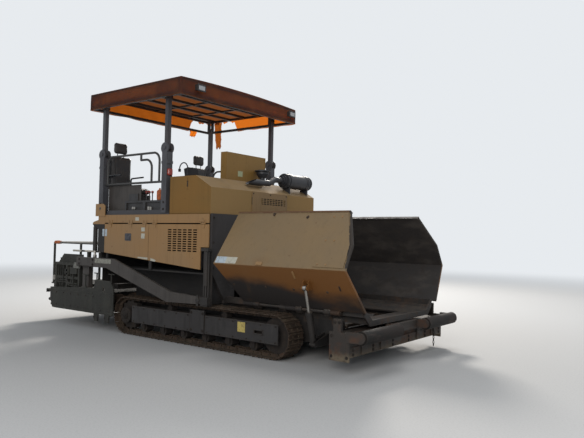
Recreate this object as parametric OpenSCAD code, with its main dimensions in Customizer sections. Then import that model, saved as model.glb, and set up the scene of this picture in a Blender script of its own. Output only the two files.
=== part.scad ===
// Tracked asphalt paver with folded hopper wings, a raised screed and a folding canopy.
// Millimetres: +X is forward to the hopper, +Y is the machine's left, +Z is up, tracks on z = 0.
// Every sided piece is drawn on the left (+Y) and mirrored for the right.

/* [Tracks] */
// Distance from the middle of the machine to the middle of a track
track_y = 1070; // [1040:1:1090]
// Width of a track shoe
track_w = 300; // [260:1:300]
// Sprocket centre, from the origin
sprocket_x = -1010; // [-1010:1:-960]
// Idler centre, from the origin
idler_x = 1910; // [1860:1:1920]
// Radius of the track's run over the shoes
track_r = 290; // [280:1:294]
// Number of shoes round a track
shoe_n = 53; // [47:1:57]
// Height of a shoe's pad
pad_t = 25; // [15:1:32]
// Thickness of the chain under the pads
chain_t = 40; // [30:1:44]
// Number of teeth on a sprocket
tooth_n = 13; // [9:2:17]
// Radius of a bottom roller
roller_r = 68; // [55:1:74]
// Thickness of the side covers over a track
cover_t = 18; // [8:1:20]

/* [Chassis] */
// Outer face of a chassis side wall, from the middle
wall_y = 800; // [780:1:860]
// Thickness of a chassis side wall
wall_t = 40; // [25:1:50]
// Top of the chassis behind the hopper
deck_z = 1000; // [960:1:1010]
// Top of the chassis walls under the hopper
rail_z = 520; // [500:1:540]
// Underside of the conveyor pan
pan_z = 400; // [380:1:410]
// Front end of the chassis
nose_x = 2700; // [2640:1:2720]
// Rear end of the chassis over the augers
tail_x = -1290; // [-1290:1:-1250]

/* [Body] */
// Half width over the side doors
body_y = 1250; // [1240:1:1252]
// Rear end of the body
body_x0 = -1730; // [-1740:1:-1710]
// Front end of the side doors
body_x1 = 797; // [780:1:797]
// Height of the top of the body's side
body_z = 1840; // [1830:1:1860]
// Height of the doors' hinge line
hinge_z = 1705; // [1690:1:1715]
// Seam between rear and front door
seam_x = -470; // [-600:1:-400]
// Thickness of a door with its flanges
door_t = 35; // [20:1:38]
// Thickness of a door's outer sheet
sheet_t = 6; // [3:1:10]
// Height of a door's lower edge at the rear end
door_z0 = 1240; // [1235:1:1300]
// Height of a door's lower edge at the front end
door_z1 = 1070; // [1060:1:1120]

/* [Hood] */
// Rear face of the hood
hood_x0 = -50; // [-60:1:0]
// Front face of the hood
hood_x1 = 790; // [770:1:795]
// Half width of the hood
hood_y = 1220; // [1200:1:1230]
// Height of the hood's flat top
hood_z = 2390; // [2340:1:2400]
// Height of the hood's front edge
hood_front_z = 2215; // [2190:1:2260]
// Wall of the hood
hood_t = 12; // [8:1:20]

/* [Hopper] */
// Front face of the bulkhead behind the hopper
bulkhead_x = 840; // [830:1:850]
// Wing hinge, from the middle
wing_y = 970; // [960:1:980]
// Wing hinge, height over the tracks
wing_z = 60; // [56:1:70]
// Knee of a wing, from the middle
knee_y = 1354; // [1330:1:1354]
// Knee of a wing, height
knee_z = 1175; // [1160:1:1190]
// Top edge of a wing, from the middle
wing_top_y = 930; // [910:1:950]
// Top edge of a wing, height
wing_top_z = 1870; // [1850:1:1900]
// Thickness of a wing's panel
wing_t = 30; // [16:1:34]
// Front end of a wing's top edge
wing_top_x = 2866; // [2820:1:2880]
// Front end of a wing's knee
knee_x = 3060; // [3000:1:3070]

/* [Push rollers] */
// Centre of the push rollers, ahead of the chassis
push_x = 540; // [536:1:542]
// Radius of a push roller
push_r = 80; // [70:1:88]
// Height of a push roller's centre
push_z = 430; // [410:1:440]
// Outer end of a push roller, from the middle
push_y = 1300; // [1280:1:1310]

/* [Tow arms] */
// Inner face of a tow arm
arm_y = 1283; // [1281:1:1284]
// Thickness of a tow arm
arm_t = 42; // [30:1:42]
// Height of a tow arm's plate
arm_h = 150; // [120:1:150]
// Tow pin, forward
tow_x = 700; // [696:1:704]
// Tow pin, height over the tracks
tow_z = 75; // [72:1:85]
// Stroke of the levelling cylinders
level_stroke = 60; // [20:1:60]
// Radius of a tow pin
tow_pin_r = 22; // [15:1:26]

/* [Screed] */
// Front face of the screed's main box
screed_x1 = -1760; // [-1780:1:-1760]
// Rear face of the screed's main box
screed_x0 = -2420; // [-2460:1:-2400]
// Half width of the screed's main box
screed_y = 1240; // [1220:1:1242]
// Underside of the screed
screed_z = 250; // [240:1:270]
// Top of the screed's main box
screed_top = 640; // [636:1:680]
// Depth of an extension box
ext_len = 580; // [540:1:620]
// Height of an extension box
ext_h = 350; // [300:1:360]
// Radius of the extensions' guide tubes
guide_r = 50; // [40:1:55]
// Height of the handrail over the screed
rail_top = 1370; // [1300:1:1400]
// Rear end of the footboard
foot_x = -3320; // [-3324:1:-3310]

/* [Augers] */
// Auger shaft, forward
auger_x = -1520; // [-1530:1:-1515]
// Auger shaft, height
auger_z = 385; // [370:1:400]
// Radius of the auger's flight
auger_r = 180; // [150:1:185]
// Pitch of the flight
auger_pitch = 320; // [240:1:400]

/* [Platform] */
// Distance of the roof posts from the middle
post_y = 1195; // [1180:1:1195]
// Rear posts, forward
post_x0 = -1685; // [-1690:1:-1660]
// Front posts, forward
post_x1 = -160; // [-200:1:-140]
// Side of a lower post
post_w = 110; // [90:1:110]
// Side of an upper post
upper_w = 66; // [50:1:70]
// Height of the posts' fold pins
fold_z = 2820; // [2780:1:2840]
// Seat's distance from the middle
seat_y = 890; // [860:1:900]
// Seat's place, forward
seat_x = -1380; // [-1420:1:-1300]
// Top of a seat's cushion
seat_z = 2290; // [2250:1:2320]

/* [Canopy] */
// Rear edge of the canopy
roof_x0 = -1900; // [-1920:1:-1880]
// Front edge of the canopy
roof_x1 = 270; // [240:1:280]
// Half width of the canopy
roof_y = 1355; // [1340:1:1355]
// Top of the canopy
roof_z = 3850; // [3800:1:3870]
// Depth of the canopy's skirt under the canopy's top
skirt_z = 306; // [290:1:310]
// Canopy's fold pins, under the canopy's top
roof_pin_z = 260; // [250:1:265]

/* [Clearances] */
// Running clearance round pins and rods
fit = 0.3; // [0.2:0.1:1]
// Gap between pieces that move past each other
gap = 5; // [4:1:8]

/* [Hidden] */
$fn = 48;
eps = 0.01;
ochre = "goldenrod";
dark = "dimgray";
steel = "slategray";
rust = "sienna";

// Shared forms

// Mirrors a left-hand piece to the right for side = -1
module sided(side)
  mirror([0, side < 0 ? 1 : 0, 0]) children();

// Block from its lowest to its highest corner
module block(a, b)
  translate(a) cube(b - a);

// Round bar along Y from y0 to y1
module bar_y(x, y0, y1, z, r)
  translate([x, y0, z]) rotate([-90, 0, 0]) cylinder(h = y1 - y0, r = r);

// Round bar along X from x0 to x1
module bar_x(x0, x1, y, z, r)
  translate([x0, y, z]) rotate([0, 90, 0]) cylinder(h = x1 - x0, r = r);

// Round bar upwards from z0 to z1
module bar_z(x, y, z0, z1, r)
  translate([x, y, z0]) cylinder(h = z1 - z0, r = r);

// Plate with an XZ outline, from y0 to y1
module plate_xz(points, y0, y1)
  translate([0, y1, 0]) rotate([90, 0, 0]) linear_extrude(y1 - y0) polygon(points);

// Plate with a YZ outline, from x0 to x1
module plate_yz(points, x0, x1)
  translate([x0, 0, 0]) rotate([90, 0, 90]) linear_extrude(x1 - x0) polygon(points);

// Plate between two YZ points a and b: x along the machine, s up the slope, t inwards from z0
module slope_plate(a, b, points, t, z0 = 0)
  translate([0, a.x, a.y]) rotate([atan2(b.y - a.y, b.x - a.x), 0, 0])
    translate([0, 0, z0]) linear_extrude(t) polygon(points);

// Tracks and undercarriage

run_len = idler_x - sprocket_x;
link_r = track_r - pad_t;
chain_r = link_r - chain_t;
turn_len = PI * link_r;
// Lowest height of what lies over a track
over_track = 2 * track_r + gap;
hinge_line_z = 2 * track_r + wing_z;
tow_line_z = 2 * track_r + tow_z;
pitch = (2 * run_len + 2 * turn_len) / shoe_n;
track_y0 = track_y - track_w / 2;
track_y1 = track_y + track_w / 2;

// Point of the loop at length s along the links' line, at radius r from the wheels' centres
function loop_point(s, r) =
  s < run_len ? [sprocket_x + s, track_r + r] :
  s < run_len + turn_len ? let (a = 90 - (s - run_len) / turn_len * 180)
    [idler_x + r * cos(a), track_r + r * sin(a)] :
  s < 2 * run_len + turn_len ? [idler_x - (s - run_len - turn_len), track_r - r] :
  let (a = -90 - (s - 2 * run_len - turn_len) / turn_len * 180)
    [sprocket_x + r * cos(a), track_r + r * sin(a)];

// Columns: place along the pitch, height over the links as a share of the pad
shoe_profile = [[0.02, 0], [0.08, 1], [0.90, 1], [0.96, 0]];

module track_void() {
  for (x = [sprocket_x, idler_x]) translate([x, track_r]) circle(r = chain_r, $fn = 64);
  translate([sprocket_x, track_r - chain_r]) square([run_len, 2 * chain_r]);
}

module track(side)
  color(rust) sided(side) translate([0, track_y1, 0]) rotate([90, 0, 0])
    linear_extrude(track_w) difference() {
      polygon([for (i = [0 : shoe_n - 1]) for (p = shoe_profile)
        loop_point((i + p.x) * pitch, link_r + p.y * pad_t)]);
      track_void();
    }

beam_z0 = track_r - chain_r + 2 * roller_r + 10;
beam_z1 = 430;
beam_y0 = track_y0 + 60;
beam_y1 = track_y1 - 60;
bottom_rollers = [for (i = [0 : 5]) sprocket_x + 360 + i * (run_len - 720) / 5];
cover_y = track_y1 + 2;
// Columns: rear end, front end of each side cover
covers = [[-820, 450], [750, 2030]];
cover_z = [200, 450];

module sprocket_wheel()
  translate([0, -45, 0]) rotate([-90, 0, 0]) linear_extrude(90)
    polygon([for (i = [0 : 4 * tooth_n - 1])
      let (a = i * 90 / tooth_n, r = i % 4 < 2 ? chain_r - fit : chain_r - 26)
      [r * cos(a), r * sin(a)]]);

module undercarriage(side) color(dark) sided(side) {
  block([sprocket_x + 150, beam_y0, beam_z0], [idler_x - 130, beam_y1, beam_z1]);
  translate([sprocket_x, track_y, track_r]) sprocket_wheel();
  bar_y(sprocket_x, track_y0 + 10, track_y1 - 8, track_r, 120);
  block([sprocket_x, beam_y0, track_r - 60], [sprocket_x + 160, beam_y0 + 20, track_r + 60]);
  block([sprocket_x, beam_y1 - 20, track_r - 60], [sprocket_x + 160, beam_y1, track_r + 60]);
  bar_y(idler_x, track_y - 45, track_y + 45, track_r, chain_r - fit);
  bar_y(idler_x, beam_y0 - 20, beam_y1 + 20, track_r, 70);
  for (y = [beam_y0, beam_y1 - 20])
    block([idler_x - 140, y, track_r - 45], [idler_x, y + 20, track_r + 45]);
  for (x = bottom_rollers) {
    bar_y(x, beam_y0 + 22, beam_y1 - 22, track_r - chain_r + roller_r + fit, roller_r);
    bar_y(x, beam_y0, beam_y1, track_r - chain_r + roller_r + fit, 20);
    for (y = [beam_y0, beam_y1 - 15])
      block([x - 35, y, track_r - chain_r + roller_r - 30], [x + 35, y + 15, beam_z0 + 5]);
  }
  for (x = [-100, 1000]) {
    bar_y(x, track_y - 50, track_y + 50, track_r + chain_r - 50 - fit, 50);
    block([x - 25, track_y - 20, beam_z1 - 5], [x + 25, track_y + 20, track_r + chain_r - 50]);
  }
  for (x = [-400, 1300]) bar_y(x, wall_y, beam_y0 + 5, 330, 85);
  difference() {
    for (c = covers) {
      block([c.x, cover_y, cover_z.x], [c.y, cover_y + cover_t, cover_z.y]);
      for (x = [c.x + 200, c.y - 200]) bar_y(x, beam_y1 - 5, cover_y + 5, 330, 30);
    }
    block([1640, cover_y - 20, 310], [1780, cover_y + cover_t + 1, 350]);
  }
  block([covers[0].y + 12, cover_y, cover_z.x - 5], [covers[1].x - 12, cover_y + cover_t + 8, 510]);
  bar_y((covers[0].y + covers[1].x) / 2, beam_y1 - 5, cover_y + 5, 340, 60);
}

// Chassis, conveyors and hopper bed

bulkhead_t = 40;
bulkhead_x0 = bulkhead_x - bulkhead_t;
pan_t = 30;
pan_top = pan_z + pan_t;
column_x0 = 752;
column_z0 = over_track + 15;
foot_t = 12;

lash_r = 25;
// Place of the lashing hole in each side wall: forward, height
lash_hole = [nose_x - 100, 325];

module frame_wall() difference() {
  plate_xz([[tail_x, 300], [tail_x, deck_z], [bulkhead_x0, deck_z], [bulkhead_x0, rail_z],
    [nose_x, rail_z], [nose_x, 330], [nose_x - 160, 210], [tail_x + 180, 210]],
    wall_y - wall_t, wall_y);
  bar_y(lash_hole.x, wall_y - wall_t - 1, wall_y + 1, lash_hole.y, lash_r);
}

module main_frame() color(dark) {
  for (side = [-1, 1]) sided(side) {
    frame_wall();
    block([column_x0, wall_y - eps, column_z0], [bulkhead_x0, body_y, deck_z - 20]);
    block([body_x0 + 40, 300, deck_z - 80], [tail_x + eps, 360, deck_z]);
  }
  block([tail_x, eps - wall_y, pan_z], [nose_x, wall_y - eps, pan_top]);
  block([tail_x, eps - wall_y, deck_z - 40], [bulkhead_x0, wall_y - eps, deck_z]);
  block([nose_x - 60, eps - wall_y, 240], [nose_x, wall_y - eps, pan_z + eps]);
  block([-300, eps - wall_y, 240], [-220, wall_y - eps, pan_z + eps]);
  plate_yz([[-60, pan_top - eps], [60, pan_top - eps], [60, pan_top + 60], [0, pan_top + 110],
    [-60, pan_top + 60]], tail_x, nose_x - 20);
  block([nose_x - eps, -130, 300], [nose_x + 90, 130, 330]);
  block([nose_x - eps, -130, 440], [nose_x + 90, 130, 470]);
  bar_z(pivot_x, 0, 290, 480, pivot_r);
  for (side = [-1, 1]) sided(side) {
    for (x = [cylinder_x - 42, cylinder_x + 27])
      plate_yz([[wall_y - eps, 215], [wing_foot.x, wing_foot.y - 34], [wing_foot.x + 30,
        wing_foot.y - 16], [wing_foot.x + 30, wing_foot.y + 16], [wing_foot.x, wing_foot.y + 34],
        [wall_y - eps, 360]], x, x + 15);
    bar_x(cylinder_x - 42, cylinder_x + 42, wing_foot.x, wing_foot.y, pin_r);
  }
}

chain_y = [110, 670];
slat_n = 14;
conveyor_x0 = tail_x + 30;
conveyor_x1 = nose_x - 10;

module conveyors() color(rust) for (side = [-1, 1]) sided(side) {
  for (y = chain_y)
    block([conveyor_x0, y, pan_top + fit], [conveyor_x1, y + 35, pan_top + 26]);
  for (i = [0 : slat_n - 1])
    translate([conveyor_x0 + 40 + i * (conveyor_x1 - conveyor_x0 - 110) / (slat_n - 1), 0, 0])
      block([0, chain_y[0] + 5, pan_top + fit], [30, chain_y[1] + 30, pan_top + 34]);
}

wing_hinge_r = 16;
// Columns: rear end, front end of each knuckle on a wing
knuckles = [[1255, 1400], [1950, 2100], [2640, 2770]];
// Columns: rear end, front end of each lug on the hopper bed
lugs = [[1405, 1500], [1850, 1945], [2105, 2200], [2540, 2635]];
lug_r = 32;
// Top of the strip that closes the slit behind a wing's hinge
seal_z = hinge_line_z + 62;
bed_x0 = bulkhead_x;
bed_x1 = nose_x + 360;
bed_y = 690;

module hopper_bed() color(dark) {
  for (side = [-1, 1]) sided(side) {
    plate_yz([[bed_y, rail_z - 20], [bed_y, rail_z], [wall_y + 5, over_track + 14],
      [wing_y - 46, hinge_line_z - 10], [wing_y - 46, seal_z], [wing_y - 40, seal_z],
      [wing_y - 38, hinge_line_z - 26],
      [wall_y + 5, over_track], [wall_y + 5, rail_z],
      [wall_y - wall_t - 5, rail_z], [wall_y - wall_t - 5, rail_z + 10]], bed_x0, bed_x1);
    bar_x(knuckles[0].x - 10, knuckles[2].y + 10, wing_y, hinge_line_z, wing_hinge_r);
    for (l = lugs) {
      bar_x(l.x, l.y, wing_y, hinge_line_z, lug_r);
      plate_yz([[wall_y + 2, over_track + 5], [wing_y - 60, hinge_line_z - 30], [wing_y - 20, hinge_line_z],
        [wing_y + 20, hinge_line_z - 22], [wing_y, hinge_line_z - 46], [wall_y + 8, over_track],
        [wall_y + 8, rail_z - 60], [wall_y + 2, rail_z - 60]], l.x, l.y);
    }
  }
  block([nose_x, -bed_y - eps, rail_z - 20], [bed_x1, bed_y + eps, rail_z]);
  plate_yz([[46 - wing_y, hinge_line_z - 26], [46 - wing_y, seal_z], [-bed_y - 60, rail_z + 50],
    [bed_y + 60, rail_z + 50], [wing_y - 46, seal_z], [wing_y - 46, hinge_line_z - 26],
    [wall_y + 5, rail_z - 20], [-wall_y - 5, rail_z - 20]], bed_x1 - eps, bed_x1 + 24);
}

// Hopper wings and their cylinders

wing_hinge = [wing_y, hinge_line_z];
knee = [knee_y, knee_z];
wing_top = [wing_top_y, wing_top_z];
low_len = norm(knee - wing_hinge);
high_len = norm(wing_top - knee);
low_dir = (knee - wing_hinge) / low_len;
wing_x0 = 997;
// Lower panel's outline: forward, and up the slope from the hinge
low_outline = [[1230, 40], [wing_x0, low_len], [knee_x, low_len], [3125, 40]];
// Upper panel's outline: forward, and up the slope from the knee
high_outline = [[wing_x0, 0], [wing_x0 + 63, high_len], [wing_top_x, high_len],
  [wing_top_x + 184, 0.43 * high_len], [knee_x, 0]];
cylinder_x = 2460;
wing_eye_s = 420;
wing_eye_out = 70;
wing_eye = wing_hinge + low_dir * wing_eye_s + [low_dir.y, -low_dir.x] * wing_eye_out;
wing_foot = [1080, 250];
pin_r = 13;
eye_play = 8;

module wing(side) color(ochre) sided(side) {
  slope_plate(wing_hinge, knee, low_outline, wing_t);
  slope_plate(knee, wing_top, high_outline, wing_t);
  slope_plate(knee, wing_top, [[wing_x0 + 63, high_len - 14], [wing_x0 + 63, high_len + 8],
    [wing_top_x, high_len + 8], [wing_top_x, high_len - 14]], wing_t + 24, -8);
  slope_plate(knee, wing_top, [[2600, 30], [2600, high_len - 24], [wing_top_x - 20, high_len - 24],
    [wing_top_x + 150, 0.43 * high_len], [knee_x - 30, 30]], 8 + eps, -8);
  for (k = knuckles) difference() {
    union() {
      bar_x(k.x, k.y, wing_y, hinge_line_z, lug_r);
      slope_plate(wing_hinge, knee, [[k.x, 0], [k.x, 60], [k.y, 60], [k.y, 0]], wing_t);
    }
    bar_x(k.x - 1, k.y + 1, wing_y, hinge_line_z, wing_hinge_r + fit);
  }
  for (x = [cylinder_x - 45, cylinder_x + 30]) wing_ear(x, x + 15);
  bar_x(cylinder_x - 45, cylinder_x + 45, wing_eye.x, wing_eye.y, pin_r);
}

module wing_ear(x0, x1)
  translate([0, wing_hinge.x, wing_hinge.y]) rotate([atan2(low_dir.y, low_dir.x), 0, 0]) {
    block([x0, wing_eye_s - 60, -40], [x1, wing_eye_s + 60, 5]);
    block([x0, wing_eye_s - 30, -wing_eye_out], [x1, wing_eye_s + 30, 0]);
    translate([x0, wing_eye_s, -wing_eye_out]) rotate([0, 90, 0]) cylinder(h = x1 - x0, r = 30);
  }

wing_cyl_vec = wing_eye - wing_foot;
wing_cyl_len = norm(wing_cyl_vec);
wing_cyl_tilt = atan2(wing_cyl_vec.y, wing_cyl_vec.x) - 90;
rod_r = 18;
barrel_r = 38;

// Local frame of a wing cylinder: origin at its foot, Z towards the wing's eye
module wing_cylinder_frame(side)
  sided(side) translate([cylinder_x, wing_foot.x, wing_foot.y]) rotate([wing_cyl_tilt, 0, 0])
    children();

module wing_barrel(side) color(dark) wing_cylinder_frame(side) {
  difference() {
    union() {
      translate([0, 0, 52]) cylinder(h = 348, r = barrel_r);
      translate([0, 0, 380]) cylinder(h = 30, r = barrel_r + 6);
    }
    translate([0, 0, 80]) cylinder(h = 400, r = rod_r + fit);
  }
  difference() {
    union() {
      bar_x(-24, 24, 0, 0, 32);
      block([-24, -28, 0], [24, 28, 52 + eps]);
    }
    bar_x(-30, 30, 0, 0, pin_r + fit);
  }
}

module wing_rod(side) color("silver") wing_cylinder_frame(side) {
  translate([0, 0, 262]) cylinder(h = wing_cyl_len - 262 - pin_r - eye_play - 4, r = rod_r);
  difference() {
    bar_x(-22, 22, 0, wing_cyl_len, pin_r + eye_play + 11);
    bar_x(-30, 30, 0, wing_cyl_len, pin_r + eye_play);
  }
}

// Push beam and push rollers

pivot_x = nose_x + 60;
pivot_r = 25;
beam_x0 = nose_x + 110;
beam_x1 = nose_x + 380;
roller_x = nose_x + push_x;

module push_beam() color(dark) {
  difference() {
    union() {
      block([beam_x0, -1250, 190], [beam_x1, 1250, 300]);
      block([beam_x0, -1250, 300 - eps], [beam_x1 - 20, 1250, 440]);
      block([nose_x + 13, -70, 336], [beam_x0 + eps, 70, 434]);
    }
    bar_z(pivot_x, 0, 320, 450, pivot_r + fit);
  }
  for (side = [-1, 1]) sided(side) {
    block([beam_x0, 1250 - eps, 140], [beam_x1, 1268, 470]);
    block([beam_x0 + 55, 1236, 470 - eps], [beam_x0 + 155, 1268, 620]);
    for (y = cheeks) block([beam_x1 - 25, y, push_z - 60], [roller_x, y + cheek_t, push_z + 60]);
    for (y = cheeks) bar_y(roller_x, y, y + cheek_t, push_z, 60);
    block([beam_x1 - 25, 1250, push_z - 60], [beam_x1, push_y - cheek_t + eps, push_z + 40]);
    bar_y(roller_x, cheeks[0] + cheek_t - eps, cheeks[1] + eps, push_z, push_pin_r);
  }
  block([beam_x1 - 25, -cheeks[0] - eps, push_z - 60], [beam_x1 + 60, cheeks[0] + eps,
    push_z + 50]);
}

cheek_t = 25;
cheeks = [352, push_y - cheek_t];
push_pin_r = 22;

module push_roller(side) color(rust) sided(side) difference() {
  bar_y(roller_x, cheeks[0] + cheek_t + gap, cheeks[1] - gap, push_z, push_r);
  bar_y(roller_x, cheeks[0], push_y, push_z, push_pin_r + fit);
}

// Body, doors and bulkhead

rail_in = 1190;
pillar_y = body_y - door_t - gap;
door_x0 = -1555;
notch_x = 640;
notch_z = 1380;
door_top = hinge_z - 8;
pin_y = body_y + 6;
hinge_pin_r = 5;
knuckle_r = 10;
// Columns: place of each hinge on the rear door and on the front door
rear_hinges = [-1400, -900, -560];
front_hinges = [-330, 690];

function door_edge(x) = door_z0 + (door_z1 - door_z0) * (x - door_x0) / (notch_x - door_x0);

module hinge_fixed(x) {
  for (s = [-1, 1]) translate([x + s * 35, 0, 0]) {
    bar_x(-10, 10, pin_y, hinge_z, knuckle_r);
    block([-10, body_y - eps, hinge_z], [10, pin_y, hinge_z + 50]);
  }
  bar_x(x - 40, x + 40, pin_y, hinge_z, hinge_pin_r);
}

module hinge_moving(x) {
  difference() {
    union() {
      bar_x(x - 22, x + 22, pin_y, hinge_z, knuckle_r);
      block([x - 22, body_y - eps, hinge_z - 60], [x + 22, pin_y, hinge_z]);
    }
    bar_x(x - 30, x + 30, pin_y, hinge_z, hinge_pin_r + fit);
  }
}

module body_shell() color(ochre) {
  for (side = [-1, 1]) sided(side) {
    block([door_x0 - 5, rail_in, hinge_z + 10], [body_x1, body_y, body_z]);
    block([body_x0, rail_in, door_z0], [door_x0 - 5 + eps, body_y, body_z]);
    for (x = [-498, 740]) block([x, rail_in, deck_z + 20 - eps],
      [x + 57, pillar_y, hinge_z + 10 + eps]);
    block([door_x0, rail_in, deck_z + 20 - eps], [door_x0 + 40, pillar_y, hinge_z + 10 + eps]);
    for (x = rear_hinges) hinge_fixed(x);
    for (x = front_hinges) hinge_fixed(x);
    plate_xz([[-1800, body_z - 20], [-1550, body_z - 20], [-1550, 1990], [-1600, 2020],
      [-1800, 2020]], body_y + fit, body_y + 10);
    block([body_x0, body_y - eps, body_z - 20], [-1550, body_y + 1, body_z]);
    for (y = [lift_y - 35, lift_y + 23])
      plate_xz([[body_x0 + eps, lift_top.y - 90], [body_x0 + eps, lift_top.y + 60],
        [lift_top.x, lift_top.y + 32], [lift_top.x - 30, lift_top.y + 14],
        [lift_top.x - 30, lift_top.y - 14], [lift_top.x, lift_top.y - 32]], y, y + 12);
    bar_y(lift_top.x, lift_y - 35, lift_y + 35, lift_top.y, lift_pin_r);
  }
  block([body_x0, -rail_in - eps, deck_z + 20], [body_x0 + 20, rail_in + eps, body_z]);
  block([body_x0, -rail_in, deck_z], [bulkhead_x0, rail_in, deck_z + 20]);
  rear_ladder();
}

// Height of each step on the rear wall
steps = [1080, 1330, 1580];
ladder_y = 210;

module rear_ladder() {
  for (y = [-ladder_y, ladder_y - 12])
    plate_xz([[body_x0 + eps, body_z - 30], [body_x0 - 120, body_z - 90],
      [body_x0 - 120, steps[0] - 20], [body_x0 + eps, steps[0] - 20]], y, y + 12);
  for (z = steps) block([body_x0 - 115, -ladder_y + 10, z], [body_x0 - 5, ladder_y - 10, z + 15]);
}

module door_blank(x0, x1, outline, hinges) difference() {
  union() {
    plate_xz(outline, body_y - door_t, body_y);
    for (x = hinges) hinge_moving(x);
  }
  block([x0, body_y - door_t - 1, door_z0 + 40], [x1, body_y - sheet_t, door_top - 40]);
}

module door_rear(side) color(ochre) sided(side)
  door_blank(door_x0 + 45, seam_x - 45,
    [[door_x0, door_edge(door_x0)], [seam_x - 3, door_edge(seam_x)], [seam_x - 3, door_top],
     [door_x0, door_top]], rear_hinges);

slot_cols = 6;
slot_rows = 10;
slot_w = 78;
slot_h = 18;
grille_x = -40;
grille_z = 1310;

module door_front(side) color(ochre) sided(side) difference() {
  door_blank(seam_x + 45, notch_x - 20,
    [[seam_x + 3, door_edge(seam_x)], [notch_x, door_edge(notch_x)], [notch_x, notch_z],
     [body_x1, notch_z], [body_x1, door_top], [seam_x + 3, door_top]], front_hinges);
  for (i = [0 : slot_cols - 1]) for (j = [0 : slot_rows - 1])
    translate([grille_x + i * 105, 0, grille_z + j * 33])
      block([0, body_y - 20, 0], [slot_w, body_y + 1, slot_h]);
}

module bulkhead() color(steel) {
  plate_yz([[-1230, body_z + 8], [1230, body_z + 8], [1230, 1050], [960, 640], [960, 600],
    [wall_y, 600], [wall_y, rail_z], [wall_y - wall_t, rail_z], [wall_y - wall_t, 860],
    [wall_t - wall_y, 860], [wall_t - wall_y, rail_z], [-wall_y, rail_z], [-wall_y, 600],
    [-960, 600], [-960, 640], [-1230, 1050]], bulkhead_x0, bulkhead_x);
}

// Hood, engine and muffler

hood_crest = 480;

module hood() color(ochre) difference() {
  plate_xz([[hood_x0, body_z], [hood_x1, body_z], [hood_x1, hood_front_z], [hood_crest, hood_z],
    [hood_x0, hood_z]], -hood_y, hood_y);
  plate_xz([[hood_x0 + hood_t, body_z - 1], [hood_x1 - hood_t, body_z - 1],
    [hood_x1 - hood_t, hood_front_z - 8], [hood_crest, hood_z - hood_t],
    [hood_x0 + hood_t, hood_z - hood_t]], hood_t - hood_y, hood_y - hood_t);
  block([hood_x1 - 40, -100, 1990], [hood_x1 + 1, 380, 2150]);
  for (y = [-hood_y - 1, hood_y - 8])
    block([latch_x - 15, y, hood_z - 200], [latch_x + 15, y + 9, hood_z - 30]);
}

// Place of the latch slot in each side of the hood
latch_x = 315;

module hood_panel() color(ochre) difference() {
  block([hood_x1, -370, body_z + 12], [hood_x1 + 12, 470, hood_front_z - 2]);
  for (i = [0 : 8]) for (j = [0 : 3])
    translate([0, -170 + i * 68, 2030 + j * 26])
      block([hood_x1 - 1, 0, 0], [hood_x1 + 20, 50, 14]);
}

engine_x = [-300, 640];
engine_y = 420;

module engine() color(dark) {
  block([engine_x.x, -engine_y, deck_z + 80], [engine_x.y, engine_y, body_z - 80]);
  for (x = [engine_x.x + 60, engine_x.y - 120]) for (y = [60 - engine_y, engine_y - 120])
    block([x, y, deck_z + 20], [x + 60, y + 60, deck_z + 80 + eps]);
}

muffler_x = 660;
muffler_y = [540, 1190];
muffler_z = 2455;
muffler_r = 115;
tail_r = 45;
// Centre line of the tail pipe, from the muffler's end cap to its mouth: y, height
tail_path = [[500, 2455], [330, 2455], [180, 2385], [-40, 2375]];
cleaner = [485, 220];
// Height of the hood's sloping top at x
function slope_z(x) = x < hood_crest ? hood_z :
  hood_z - (x - hood_crest) * (hood_z - hood_front_z) / (hood_x1 - hood_crest);

// Straight pipe between two YZ points in the plane x
module pipe_yz(x, a, b, r)
  translate([x, a.x, a.y]) rotate([atan2(a.x - b.x, b.y - a.y), 0, 0]) cylinder(h = norm(b - a), r = r);

module muffler() color("darkslategray") {
  bar_y(muffler_x, muffler_y.x, muffler_y.y, muffler_z, muffler_r);
  for (y = [muffler_y.x - 30, muffler_y.y - eps]) bar_y(muffler_x, y, y + 30, muffler_z, muffler_r - 22);
  for (y = [muffler_y.x + 70, muffler_y.y - 100]) {
    bar_y(muffler_x, y, y + 40, muffler_z, muffler_r + 8);
    plate_xz([[muffler_x - 70, slope_z(muffler_x - 70) + fit], [muffler_x - 70, muffler_z],
      [muffler_x + 70, muffler_z], [muffler_x + 70, slope_z(muffler_x + 70) + fit]], y + 10, y + 30);
  }
  for (i = [0 : 2]) pipe_yz(muffler_x, tail_path[i], tail_path[i + 1], tail_r);
  for (i = [1, 2]) translate([muffler_x, tail_path[i].x, tail_path[i].y]) sphere(r = tail_r + 2);
  bar_y(muffler_x, 480, 511, muffler_z, 70);
  tail_mouth(tail_path[3].x, tail_path[3].y);
  air_cleaner();
}

// Open end of the tail pipe, cut on the slant so that it faces up
module tail_mouth(y, z) difference() {
  bar_y(muffler_x, y - 290, y + 10, z, tail_r + 6);
  bar_y(muffler_x, y - 291, y - 5, z, tail_r);
  plate_yz([[y - 30, z + 70], [y - 292, z - 25], [y - 292, z + 90], [y - 30, z + 90]],
    muffler_x - 80, muffler_x + 80);
}

module air_cleaner() translate([cleaner.x, cleaner.y, 0]) {
  translate([0, 0, hood_z + fit]) cylinder(h = 190, r = 42);
  translate([0, 0, hood_z + 90]) cylinder(h = 60, r1 = 60, r2 = 95);
  translate([0, 0, hood_z + 150 - eps]) cylinder(h = 30, r = 95);
  translate([0, 0, hood_z + 190]) cylinder(h = 14, r = 125);
}

// Platform, console, seats and rails

plat_t = 25;
plat_z = body_z + plat_t;

module platform() color(steel) {
  block([body_x0, -1230, body_z], [hood_x0 - 2, 1230, plat_z]);
  for (side = [-1, 1]) sided(side)
    block([body_x0 + 200, 1200, plat_z - eps], [post_x1 - 80, 1230, plat_z + 45]);
}

// Box of the gauges on the hood
head_x = [230, 350];
head_y = [-470, 450];
head_z = hood_z + 440;
desk_x = [hood_x0 - 330, hood_x0 - 10];
desk_y = 780;
desk_z = 2360;
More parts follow.
